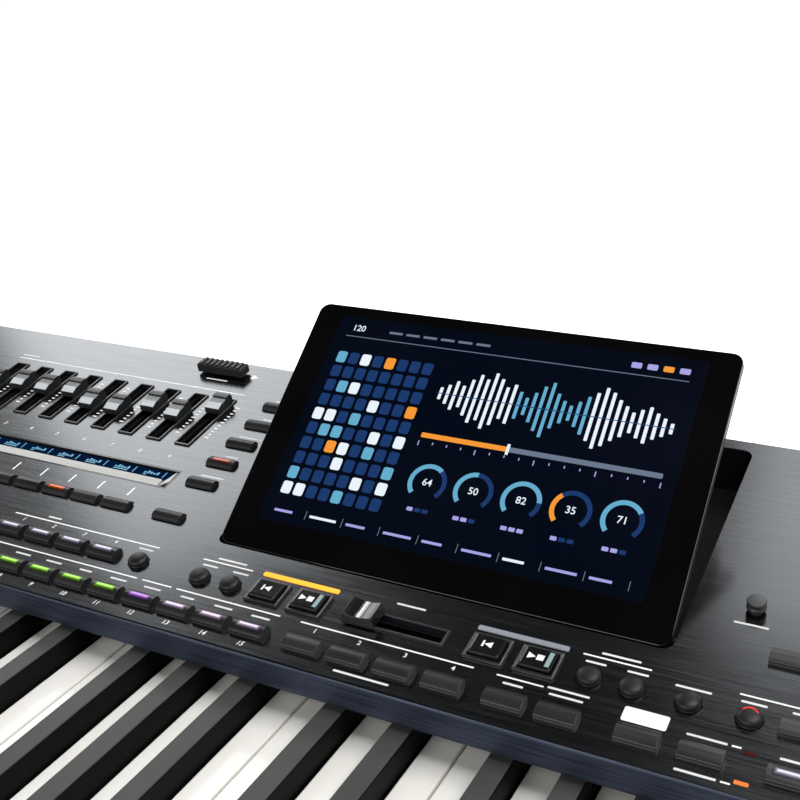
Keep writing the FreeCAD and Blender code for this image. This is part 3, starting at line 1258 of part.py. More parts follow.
os.makedirs("parts", exist_ok=True)
NODES = {
    "bottom_case": bottom_case, "top_panel": top_panel, "rear_panel": rear_panel,
    "left_end_block": left_end_block, "right_end_block": right_end_block, "key_slip": key_slip,
    "rubber_feet": rubber_feet, "key_chassis": key_chassis, "circuit_boards": circuit_boards,
    "power_supply": power_supply, "display_well": display_well,
    "display_hinge_pins": display_hinge_pins, "display_housing": display_housing,
    "display_glass": display_glass, "lcd_panel": lcd_panel, "fader_tracks": fader_tracks,
    "slider_rims": slider_rims, "strip_screen_frame": strip_screen_frame, "strip_screen": strip_screen,
    "transport_frames": transport_frames, "light_bars": light_bars, "rear_sockets": rear_sockets,
    "power_inlet": power_inlet, "power_switch": power_switch, "unlock_knob": unlock_knob,
    "rear_lock_slide": rear_lock_slide, "crossfader_cap": crossfader_cap,
    "round_buttons": round_buttons, "transport_buttons": transport_buttons, "data_dial": data_dial,
    "volume_knob": volume_knob, "joystick_gimbal": joystick_gimbal, "joystick_lever": joystick_lever,
}
for node, maker in NODES.items():
    save(node, maker())
save("style_buttons", button_bank(style_places()))
save("control_buttons", button_bank(control_places()))
save("set_buttons", button_bank(set_places()))
for number in range(SLIDER_COUNT):
    save("slider_cap_" + str(number + 1), slider_cap(number))
save_keys()
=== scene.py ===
import json
import logging
import math
from dataclasses import dataclass, field, replace
from enum import Enum

import bpy
from mathutils import Matrix, Vector


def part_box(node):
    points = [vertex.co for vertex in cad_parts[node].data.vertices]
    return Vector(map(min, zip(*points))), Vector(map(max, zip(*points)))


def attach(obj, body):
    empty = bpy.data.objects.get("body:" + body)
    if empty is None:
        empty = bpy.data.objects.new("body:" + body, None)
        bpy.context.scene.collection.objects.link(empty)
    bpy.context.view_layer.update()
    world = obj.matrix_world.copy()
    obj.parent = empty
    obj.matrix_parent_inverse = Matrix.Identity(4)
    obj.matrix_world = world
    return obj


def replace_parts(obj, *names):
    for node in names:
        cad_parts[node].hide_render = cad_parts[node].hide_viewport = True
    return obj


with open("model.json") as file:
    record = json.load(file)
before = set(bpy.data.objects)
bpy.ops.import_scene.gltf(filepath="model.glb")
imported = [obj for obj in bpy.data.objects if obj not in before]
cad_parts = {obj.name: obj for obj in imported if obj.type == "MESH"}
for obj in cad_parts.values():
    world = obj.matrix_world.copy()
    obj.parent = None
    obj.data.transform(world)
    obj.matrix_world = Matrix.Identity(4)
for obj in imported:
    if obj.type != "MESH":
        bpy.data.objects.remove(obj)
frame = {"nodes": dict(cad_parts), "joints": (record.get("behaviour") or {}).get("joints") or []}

# Looks of the arranger keyboard. Lengths are millimetres unless a name says otherwise, and MM turns them
# into Blender's metres. The panel and the display each have their own axes: x across, s up the face, h out of it.

LOG = logging.getLogger("keyboard")
MM = 0.001
ACROSS = Vector((1.0, 0.0, 0.0))
SHARP_ANGLE = math.radians(35)
FLAT_ANGLE = math.radians(1)
WELD_GAP = 0.002
FIGURE_SCALE = 1.3
FIGURE_WEIGHT = 0.012
FIGURE_CURVE_STEPS = 3
UNLIT_DIM = 0.8
Pair = tuple[float, float]
Triple = tuple[float, float, float]
Colour = Triple
Outline = list[Pair]
Profile = tuple[Pair, ...]
Socket = bpy.types.NodeSocket
Tree = bpy.types.NodeTree


class Grain(Enum):
    """How a surface was worked."""

    BRUSHED = "brushed"
    MOULDED = "moulded"


class Blend(Enum):
    """What a mix node moves between: the node's data type, its two inputs and its output."""

    VALUE = ("FLOAT", 2, 3, 0)
    COLOUR = ("RGBA", 6, 7, 2)


class Side(Enum):
    """Which way a pointed sign faces."""

    LEFT = -1
    RIGHT = 1


@dataclass(frozen=True)
class Plane:
    """A flat face with its own axes.

    Args:
        origin: the point at x, s and h of zero, in metres.
        up: unit vector along s.
        out: unit vector along h.
    """

    origin: Vector
    up: Vector
    out: Vector

    def at(self, x: float, s: float, h: float = 0.0) -> Vector:
        """Gives the row-frame point, in metres, at a place on this face, in millimetres."""
        return self.origin + MM * (x * ACROSS + s * self.up + h * self.out)

    def local(self, point: Vector) -> Vector:
        """Gives a row-frame point's x, s and h on this face, in millimetres."""
        away = (point - self.origin) / MM
        return Vector((away.x, away.dot(self.up), away.dot(self.out)))


@dataclass(frozen=True)
class Island:
    """One separate solid of a CAD node, as a box in a face's own axes."""

    low: Vector
    high: Vector

    @property
    def x(self) -> float:
        """Middle across."""
        return (self.low.x + self.high.x) / 2

    @property
    def s(self) -> float:
        """Middle up the face."""
        return (self.low.y + self.high.y) / 2

    @property
    def top(self) -> float:
        """Height out of the face."""
        return self.high.z


def islands(node: str, plane: Plane) -> list[Island]:
    """Splits a CAD node into its separate solids.

    Args:
        node: name of the CAD node.
        plane: the face whose axes the boxes use.

    Returns:
        One island for each solid, front rows first and each row from left to right.
    """
    mesh = frame["nodes"][node].data
    keys = [tuple(round(c, 6) for c in v.co) for v in mesh.vertices]
    leader: dict[tuple, tuple] = {k: k for k in keys}

    def find(key: tuple) -> tuple:
        """Follows a point to the leader of its solid.

        Args:
            key: the point.

        Returns:
            The leader.
        """
        while leader[key] != key:
            leader[key] = leader[leader[key]]
            key = leader[key]
        return key

    for polygon in mesh.polygons:
        first = find(keys[polygon.vertices[0]])
        for index in polygon.vertices[1:]:
            leader[find(keys[index])] = first
    groups: dict[tuple, list[Vector]] = {}
    for key in leader:
        groups.setdefault(find(key), []).append(plane.local(Vector(key)))
    found = []
    for points in groups.values():
        low = Vector([min(p[i] for p in points) for i in range(3)])
        high = Vector([max(p[i] for p in points) for i in range(3)])
        found.append(Island(low, high))
    return sorted(found, key=lambda i: (round(i.s), i.x))


def joint_named(name: str) -> dict:
    """Finds one joint of the frame by its name."""
    return next(j for j in frame["joints"] if j["name"] == name)


def panel_plane() -> Plane:
    """Finds the sloped panel's top face from the dial's axle and the panel's front edge.

    Returns:
        The face, with s of zero at the fold over the keys.
    """
    dial = joint_named("data_dial_turn")
    out = Vector(dial["axis"]).normalized()
    up = out.cross(ACROSS)
    on_face = Vector(dial["pos_m"])
    fold_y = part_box("top_panel")[0].y
    origin = on_face + up * ((fold_y - on_face.y) / up.y)
    return Plane(Vector((0.0, origin.y, origin.z)), up, out)


def display_plane(panel: Plane) -> Plane:
    """Finds the raised display's glass face.

    Args:
        panel: the panel's face.

    Returns:
        The face, with s of zero at the glass's lower edge.
    """
    rest = math.radians(-joint_named("display_tilt")["range_deg"][0])
    turn = Matrix.Rotation(rest, 3, "X")
    plane = Plane(panel.origin, turn @ panel.up, turn @ panel.out)
    glass = islands("display_glass", plane)[0]
    return Plane(plane.at(0.0, glass.low.y, glass.high.z), plane.up, plane.out)


@dataclass
class Controls:
    """Rows of controls on the panel, found in the CAD nodes, each from left to right.

    Args:
        panel: the panel's face.
        front_limit: place up the slope between the front row of buttons and those behind it.
        mode_limit: the same between the buttons in front of the strip screen and those beside it.
        slider_limit: the same between the crossfader and the sliders.
        middle: left and right end of the part of the panel that the set buttons stand in.
    """

    panel: Plane
    front_limit: float = 20.0
    mode_limit: float = 75.0
    slider_limit: float = 60.0
    middle: Pair = (-60.0, 150.0)
    styles: list[Island] = field(init=False)
    pads: list[Island] = field(init=False)
    assign: list[Island] = field(init=False)
    modes: list[Island] = field(init=False)
    sets: list[Island] = field(init=False)
    bank: list[Island] = field(init=False)
    rounds: list[Island] = field(init=False)
    rims: list[Island] = field(init=False)

    def __post_init__(self) -> None:
        """Finds the rows."""
        left, right = self.middle
        self.styles, self.pads = self.parted("style_buttons", self.front_limit)
        self.assign, self.modes = self.parted("control_buttons", self.mode_limit)
        front = self.parted("set_buttons", self.front_limit)[0]
        self.sets = [b for b in front if left < b.x < right]
        self.bank = [b for b in front if b.x > right]
        self.rounds = self.all("round_buttons")
        self.rims = self.parted("slider_rims", self.slider_limit)[1]

    def all(self, node: str) -> list[Island]:
        """Gives all solids of a node."""
        return islands(node, self.panel)

    def one(self, node: str) -> Island:
        """Gives the only solid of a node, or its first."""
        return self.all(node)[0]

    def parted(self, node: str, limit: float) -> tuple[list[Island], list[Island]]:
        """Parts a node's solids at a place up the slope.

        Args:
            node: name of the CAD node.
            limit: that place.

        Returns:
            The solids in front of it and those behind it.
        """
        found = self.all(node)
        return [i for i in found if i.s < limit], [i for i in found if i.s > limit]

    def mould(self) -> "Mould":
        """Starts an empty piece on the panel."""
        return Mould(self.panel)


# Shader effects shared by several materials

def wire(tree: Tree, node: bpy.types.Node, inputs: dict[str | int, object]) -> None:
    """Sets or links inputs of a node.

    Args:
        tree: the node's tree.
        node: the node.
        inputs: a value, or a socket to link, for each input.
    """
    for key, value in inputs.items():
        if isinstance(value, Socket):
            tree.links.new(value, node.inputs[key])
        else:
            node.inputs[key].default_value = value


def node_of(tree: Tree, kind: str, inputs: dict[str | int, object], **settings: str) -> bpy.types.Node:
    """Adds a shader node.

    Args:
        tree: the tree that takes it.
        kind: the node's type, without Blender's prefix.
        inputs: a value, or a socket to link, for each input.
        settings: the node's own choices.

    Returns:
        The new node.
    """
    node = tree.nodes.new(f"ShaderNode{kind}")
    for name, choice in settings.items():
        setattr(node, name, choice)
    wire(tree, node, inputs)
    return node


def new_group(name: str, inputs: dict[str, float]) -> Tree:
    """Makes a shader node group with the outputs Tone and Height.

    Args:
        name: the group's name.
        inputs: float inputs and their first values.

    Returns:
        The group, with its input and output nodes in place.
    """
    group = bpy.data.node_groups.new(name, "ShaderNodeTree")
    for label, value in inputs.items():
        socket = group.interface.new_socket(label, in_out="INPUT", socket_type="NodeSocketFloat")
        socket.default_value = value
    for label in ("Tone", "Height"):
        group.interface.new_socket(label, in_out="OUTPUT", socket_type="NodeSocketFloat")
    group.nodes.new("NodeGroupInput")
    group.nodes.new("NodeGroupOutput")
    return group


def close_group(group: Tree, noise: Socket, low: float, high: float, height: Socket) -> Tree:
    """Leads a group's noises to its outputs.

    Args:
        group: the group.
        noise: the noise that gives the tone.
        low, high: its values at tones of 0 and Spread.
        height: the noise that gives the height.

    Returns:
        The same group.
    """
    source, sink = group.nodes["Group Input"], group.nodes["Group Output"]
    tone = node_of(group, "MapRange", {"Value": noise, "From Min": low, "From Max": high,
                                       "To Max": source.outputs["Spread"]})
    wire(group, sink, {"Tone": tone.outputs["Result"], "Height": height})
    return group


def brushed_group() -> Tree:
    """Builds long fine streaks along X, as a brushing belt leaves them.

    Returns:
        A group with Length, Fineness and Spread in, and Tone and Height out.
    """
    group = new_group("Brushed streaks", {"Length": 26.0, "Fineness": 900.0, "Spread": 1.0})
    source = group.nodes["Group Input"].outputs
    place = node_of(group, "TexCoord", {})
    stretch = node_of(group, "CombineXYZ", {"X": source["Length"], "Y": source["Fineness"], "Z": source["Fineness"]})
    scaled = node_of(group, "VectorMath", {0: place.outputs["Object"], 1: stretch.outputs["Vector"]},
                     operation="MULTIPLY")
    streak = node_of(group, "TexNoise", {"Vector": scaled.outputs["Vector"], "Scale": 1.0, "Detail": 6.0,
                                         "Roughness": 0.72})
    return close_group(group, streak.outputs[0], 0.3, 0.7, streak.outputs[0])


def moulded_group() -> Tree:
    """Builds the fine spark-eroded grain of moulded plastic, with a slow unevenness.

    Returns:
        A group with Fineness and Spread in, and Tone and Height out.
    """
    group = new_group("Moulded grain", {"Fineness": 2200.0, "Spread": 1.0})
    place = node_of(group, "TexCoord", {}).outputs["Object"]
    fineness = group.nodes["Group Input"].outputs["Fineness"]
    grain = node_of(group, "TexNoise", {"Vector": place, "Scale": fineness, "Detail": 3.0})
    cloud = node_of(group, "TexNoise", {"Vector": place, "Scale": 22.0, "Detail": 2.0})
    return close_group(group, cloud.outputs[0], 0.35, 0.65, grain.outputs[0])


GROUP_MAKERS = {Grain.BRUSHED: brushed_group, Grain.MOULDED: moulded_group}
GROUPS: dict[Grain, Tree] = {}
MATERIALS: dict[str, bpy.types.Material] = {}


def grain_node(tree: Tree, grain: Grain) -> bpy.types.Node:
    """Places the shared grain group in a material.

    Args:
        tree: the material's node tree.
        grain: which grain.

    Returns:
        The group node.
    """
    if grain not in GROUPS:
        GROUPS[grain] = GROUP_MAKERS[grain]()
    node = tree.nodes.new("ShaderNodeGroup")
    node.node_tree = GROUPS[grain]
    return node


def blended(tree: Tree, blend: Blend, share: Socket, first: object, second: object) -> Socket:
    """Adds a node that moves between two colours or two values.

    Args:
        tree: the material's node tree.
        blend: colours or values.
        share: socket that is 0 at the first and 1 at the second.
        first, second: the two, as values or as sockets.

    Returns:
        The socket with the result.
    """
    kind, low, high, result = blend.value
    node = node_of(tree, "Mix", {0: share, low: first, high: second}, data_type=kind)
    return node.outputs[result]


def toned(tree: Tree, tone: Socket, dark: Colour, light: Colour, smooth: float, rough: float) -> tuple[Socket, Socket]:
    """Adds a colour and a roughness that change with the grain.

    Args:
        tree: the material's node tree.
        tone: the grain's own tone.
        dark, light: the two colours.
        smooth, rough: the two roughnesses.

    Returns:
        The sockets with the colour and the roughness.
    """
    gloss = node_of(tree, "MapRange", {"Value": tone, "To Min": smooth, "To Max": rough})
    return blended(tree, Blend.COLOUR, tone, (*dark, 1.0), (*light, 1.0)), gloss.outputs["Result"]


@dataclass(frozen=True)
class Finish:
    """One surface finish.

    Args:
        name: the material's name.
        dark, light: the two colours that the grain moves between.
        smooth, rough: the two roughnesses that the grain moves between.
        grain: how the surface was worked.
        metallic, coat, shine: constant shader values, shine being the strength of mirror reflection.
        relief: strength of the grain's bump.
        relief_depth: height of the grain, in millimetres.
        fineness: grains to the metre, where it differs from the group's own.
        glow: strength of the emitted light.
        glow_colour: colour of the emitted light.
    """

    name: str
    dark: Colour
    light: Colour
    smooth: float
    rough: float
    grain: Grain = Grain.MOULDED
    metallic: float = 0.0
    coat: float = 0.0
    shine: float = 0.3
    relief: float = 0.2
    relief_depth: float = 0.02
    fineness: float = 0.0
    glow: float = 0.0
    glow_colour: Colour = (0.0, 0.0, 0.0)

    def material(self) -> bpy.types.Material:
        """Builds the material once.

        Returns:
            The material, the same one at every call.
        """
        if self.name not in MATERIALS:
            MATERIALS[self.name] = self._build()
        return MATERIALS[self.name]

    def _build(self) -> bpy.types.Material:
        """Wires the grain into a Principled shader.

        Returns:
            The new material.
        """
        material = bpy.data.materials.new(self.name)
        material.use_nodes = True
        tree = material.node_tree
        grain = grain_node(tree, self.grain)
        if self.fineness:
            grain.inputs["Fineness"].default_value = self.fineness
        colour, gloss = self._surface(tree, grain.outputs["Tone"])
        bump = node_of(tree, "Bump", {"Strength": self.relief, "Distance": self.relief_depth * MM,
                                      "Height": grain.outputs["Height"]})
        wire(tree, tree.nodes["Principled BSDF"], {
            "Base Color": colour, "Roughness": gloss, "Normal": bump.outputs["Normal"], "Metallic": self.metallic,
            "Coat Weight": self.coat, "Specular IOR Level": self.shine, "Emission Strength": self.glow,
            "Emission Color": (*self.glow_colour, 1.0)})
        return material

    def _surface(self, tree: Tree, tone: Socket) -> tuple[Socket, Socket]:
        """Gives the colour and the roughness over the surface.

        Args:
            tree: the material's node tree.
            tone: the grain's own tone.

        Returns:
            The two sockets.
        """
        return toned(tree, tone, self.dark, self.light, self.smooth, self.rough)


@dataclass(frozen=True)
class TwoTone(Finish):
    """A finish with other colours on the faces that look one way: real two-tone paint on the slider caps, and painted
    light elsewhere, where faces turned to or from the lamps are made lighter or darker.

    Args:
        facing: unit vector that those faces look along.
        turned_away, turned_to: how far a face looks along it where the change starts and ends.
        face_dark, face_light: the two colours of those faces.
        face_smooth, face_rough: the two roughnesses of those faces.
    """

    facing: Triple = (0.0, 0.0, 1.0)
    turned_away: float = 0.75
    turned_to: float = 0.9
    face_dark: Colour = (0.3, 0.3, 0.3)
    face_light: Colour = (0.4, 0.4, 0.4)
    face_smooth: float = 0.25
    face_rough: float = 0.35

    def _surface(self, tree: Tree, tone: Socket) -> tuple[Socket, Socket]:
        """Gives the colour and the roughness by the way that a face looks.

        Args:
            tree: the material's node tree.
            tone: the grain's own tone.

        Returns:
            The two sockets.
        """
        colour, gloss = Finish._surface(self, tree, tone)
        face_colour, face_gloss = toned(tree, tone, self.face_dark, self.face_light, self.face_smooth, self.face_rough)
        place = node_of(tree, "TexCoord", {})
        look = node_of(tree, "VectorMath", {0: place.outputs["Normal"], 1: self.facing}, operation="DOT_PRODUCT")
        mask = node_of(tree, "MapRange", {"Value": look.outputs["Value"], "From Min": self.turned_away,
                                          "From Max": self.turned_to}).outputs["Result"]
        return (blended(tree, Blend.COLOUR, mask, colour, face_colour),
                blended(tree, Blend.VALUE, mask, gloss, face_gloss))


def grey(low: float, high: float, warm: float = 0.0) -> tuple[Colour, Colour]:
    """Gives a dark and a light grey, tinted blue by a negative warmth."""
    return ((low * (1 + warm), low, low * (1 - warm)), (high * (1 + warm), high, high * (1 - warm)))


# Panel metal: the forward-facing front band has a rougher brushing, and its darker blue-grey tone is painted shade.
PANEL_METAL_WITH_BAND_SHADE = TwoTone("panel_metal", *grey(0.08, 0.145, -0.05), 0.15, 0.25, Grain.BRUSHED, metallic=1.0, shine=0.5,
                      relief=0.045, relief_depth=0.03, fineness=1500.0, facing=(0.0, -1.0, 0.0), turned_away=0.6,
                      turned_to=0.8, face_dark=(0.022, 0.028, 0.044), face_light=(0.078, 0.094, 0.138),
                      face_smooth=0.5, face_rough=0.62)
CASE_PLASTIC = Finish("case_plastic", *grey(0.014, 0.022), 0.45, 0.6)
BLACK_STEEL = Finish("black_steel", *grey(0.012, 0.02), 0.4, 0.55, fineness=900.0)
ZINC = Finish("zinc_steel", *grey(0.45, 0.6), 0.3, 0.45, Grain.BRUSHED, metallic=1.0, shine=0.5)
RUBBER = Finish("rubber", *grey(0.012, 0.02), 0.75, 0.9)
BOARD_GREEN = Finish("board_green", (0.008, 0.06, 0.03), (0.012, 0.09, 0.045), 0.35, 0.5)
WELL_PLASTIC = Finish("well_plastic", *grey(0.002, 0.004), 0.42, 0.55, shine=0.06)
DISPLAY_SHELL = Finish("display_shell", *grey(0.005, 0.008), 0.36, 0.48, shine=0.25)
TOUCH_GLASS = Finish("touch_glass", *grey(0.0012, 0.002), 0.04, 0.07, shine=0.3, relief=0.0)
GLOSS_BLACK = Finish("gloss_black", *grey(0.006, 0.009), 0.12, 0.2, coat=0.2, relief=0.02)
SLOT_BLACK = Finish("slot_black", *grey(0.003, 0.005), 0.5, 0.7, shine=0.1)
RIM_GREY = Finish("rim_grey", *grey(0.10, 0.16), 0.28, 0.4, Grain.BRUSHED, metallic=1.0, shine=0.5, relief=0.05)
BUTTON = Finish("button_plastic", *grey(0.006, 0.010), 0.30, 0.40, shine=0.34, relief=0.08)
SET_BUTTON = replace(BUTTON, name="set_button_plastic", shine=0.6)
ROUND_BUTTON = Finish("round_button_plastic", *grey(0.006, 0.010), 0.36, 0.44, shine=0.26, relief=0.08)
# Unlock knob: dark plastic; the lighter grey on its upward faces is a painted highlight.
KNOB_PAINTED_TOP_LIGHT = TwoTone("knob_painted_top_light", *grey(0.02, 0.03), 0.34, 0.46, relief=0.15, facing=(0.0, 0.0, 1.0),
                    turned_away=0.8, turned_to=0.95, face_dark=(0.05, 0.052, 0.055), face_light=(0.08, 0.083, 0.087))
BRIGHT_METAL = Finish("bright_metal", *grey(0.42, 0.6), 0.2, 0.34, Grain.BRUSHED, metallic=1.0, relief=0.06)
WHITE_KEY = Finish("white_key", (0.83, 0.81, 0.76), (0.86, 0.845, 0.80), 0.22, 0.32, coat=0.2, relief=0.03)
# Black keys: near-black plastic; the lighter grey on their upward faces is a painted sheen.
BLACK_KEY_PAINTED_SHEEN = TwoTone("black_key", *grey(0.0015, 0.003), 0.5, 0.6, shine=0.09, relief=0.18, fineness=1500.0,
                    turned_away=0.55, turned_to=0.85, face_dark=(0.050, 0.050, 0.049),
                    face_light=(0.064, 0.064, 0.063), face_smooth=0.3, face_rough=0.4)
# Strip screen's front band and end: the pale grey is a painted reflection of the bright surroundings on their sloped
# faces.
STRIP_PAINTED_REFLECTION = Finish("strip_painted_reflection", (0.42, 0.42, 0.40), (0.52, 0.52, 0.50), 0.3, 0.42, Grain.BRUSHED, relief=0.05)
PRINT_WHITE = Finish("print_white", *grey(0.78, 0.84), 0.5, 0.6, relief=0.0)
PRINT_GREY = Finish("print_grey", *grey(0.58, 0.66), 0.5, 0.6, relief=0.0)
BRASS = Finish("contact_brass", (0.6, 0.42, 0.16), (0.75, 0.55, 0.24), 0.25, 0.4, Grain.BRUSHED, metallic=1.0)


def light(name: str, colour: Colour, strength: float, body_share: float = 0.35) -> Finish:
    """Gives the finish of a lit plastic window.

    Args:
        name: the material's name.
        colour: colour of the light.
        strength: how bright it is, where 1 is white.
        body_share: how much of that colour the unlit window has.

    Returns:
        The finish.
    """
    dark = tuple(UNLIT_DIM * body_share * c for c in colour)
    pale = tuple(body_share * c for c in colour)
    return Finish(name, dark, pale, smooth=0.18, rough=0.25, shine=0.15, relief=0.0, glow=strength, glow_colour=colour)


LED_GREEN = light("light_green", (0.42, 0.95, 0.10), 1.0)
LED_VIOLET = light("light_violet", (0.55, 0.24, 0.95), 0.9)
LED_PINK = light("light_pink", (0.88, 0.70, 0.95), 0.85)
LED_PALE = light("light_pale", (0.74, 0.74, 0.90), 0.75)
LED_ORANGE = light("light_orange", (0.95, 0.22, 0.05), 0.75)
LED_ROSE = light("light_rose", (0.85, 0.22, 0.16), 0.65)
LED_RED = light("light_red", (0.95, 0.03, 0.02), 1.0)
LED_AMBER = light("light_amber", (1.0, 0.42, 0.04), 1.25)
# Off light bar: the bar is unlit, so its faint glow is painted light.
LED_OFF_PAINTED_GLOW = light("light_off_painted_glow", (0.40, 0.42, 0.48), 0.4)
LED_TEAL = light("light_teal", (0.36, 0.50, 0.50), 0.5)
LED_DARK = light("light_dark", (0.10, 0.01, 0.01), 0.15)
SCREEN_SHARE = 0.02
SCREEN_NAVY = light("screen_navy", (0.0014, 0.0032, 0.0105), 0.8, SCREEN_SHARE)
SCREEN_BLUE = light("screen_blue", (0.012, 0.045, 0.16), 0.9, SCREEN_SHARE)
SCREEN_CYAN = light("screen_cyan", (0.16, 0.50, 0.74), 0.8, SCREEN_SHARE)
SCREEN_WHITE = light("screen_white", (0.85, 0.93, 1.0), 0.95, SCREEN_SHARE)
SCREEN_LILAC = light("screen_lilac", (0.42, 0.40, 0.85), 0.9, SCREEN_SHARE)
SCREEN_GREY = light("screen_grey", (0.16, 0.20, 0.28), 0.9, SCREEN_SHARE)
SCREEN_ORANGE = light("screen_orange", (0.95, 0.33, 0.04), 0.95, SCREEN_SHARE)
STRIP_NAVY = replace(light("strip_navy", (0.002, 0.014, 0.05), 0.7, SCREEN_SHARE), shine=0.0)


def spaced(start: float, end: float, steps: int) -> list[float]:
    """Gives evenly spaced values from start to end, both among them."""
    return [start + (end - start) * i / steps for i in range(steps + 1)]


def rounded_rectangle(x0: float, x1: float, s0: float, s1: float, radius: float, steps: int = 4) -> Outline:
    """Gives the outline of a rectangle with rounded corners.

    Args:
        x0, x1, s0, s1: its edges.
        radius: corner radius.
        steps: straight pieces to a corner.

    Returns:
        Points in counter-clockwise order.
    """
    centres = ((x1 - radius, s1 - radius), (x0 + radius, s1 - radius),
               (x0 + radius, s0 + radius), (x1 - radius, s0 + radius))
    points = []
    for quarter, (x, s) in enumerate(centres):
        for i in range(steps + 1):
            angle = math.radians(90 * quarter + 90 * i / steps)
            points.append((x + radius * math.cos(angle), s + radius * math.sin(angle)))
    return points


def arc_band(x: float, s: float, inner: float, outer: float, start: float, end: float, steps: int = 24) -> Outline:
    """Gives the outline of a band along a circle.

    Args:
        x, s: the circle's middle.
        inner, outer: radii of the band.
        start, end: its ends, in degrees.
        steps: straight pieces along it.

    Returns:
        Points in counter-clockwise order.
    """
    angles = [math.radians(a) for a in spaced(start, end, steps)]
    far = [(x + outer * math.cos(a), s + outer * math.sin(a)) for a in angles]
    near = [(x + inner * math.cos(a), s + inner * math.sin(a)) for a in reversed(angles)]
    return far + near


def disc(x: float, s: float, radius: float, steps: int = 32) -> Outline:
    """Gives the outline of a round spot."""
    turn = 2 * math.pi / steps
    return [(x + radius * math.cos(i * turn), s + radius * math.sin(i * turn)) for i in range(steps)]


def pointer(x: float, s: float, size: float, side: Side) -> Outline:
    """Gives a triangle that points to one side.

    Args:
        x, s: its middle.
        size: its length and its height.
        side: where it points.

    Returns:
        Points in counter-clockwise order.
    """
    reach = side.value * size / 2
    points = [(x - reach, s - size / 2), (x + reach, s), (x - reach, s + size / 2)]
    return points if side is Side.RIGHT else points[::-1]


def gear(x: float, s: float, radius: float, depth: float, teeth: int) -> Outline:
    """Gives the outline of a ribbed grip.

    Args:
        x, s: its middle.
        radius: radius over the ribs.
        depth: depth of the grooves.
        teeth: number of ribs.

    Returns:
        Points in counter-clockwise order.
    """
    points = []
    for i in range(4 * teeth):
        angle = 2 * math.pi * i / (4 * teeth)
        reach = radius if i % 4 < 2 else radius - depth
        points.append((x + reach * math.cos(angle), s + reach * math.sin(angle)))
    return points


def arch_drop(half: float, rise: float, offset: float) -> float:
    """Gives how far an arch of a half width and a rise lies below its crown at an offset from its middle."""
    radius = (half * half + rise * rise) / (2 * rise)
    return radius - math.sqrt(radius * radius - offset * offset)


def new_object(name: str, data: bpy.types.ID) -> bpy.types.Object:
    """Makes an object and puts it in the scene.

    Args:
        name: the object's name.
        data: its mesh, curve, light or camera.

    Returns:
        The object.
    """
    made = bpy.data.objects.new(name, data)
    bpy.context.scene.collection.objects.link(made)
    return made


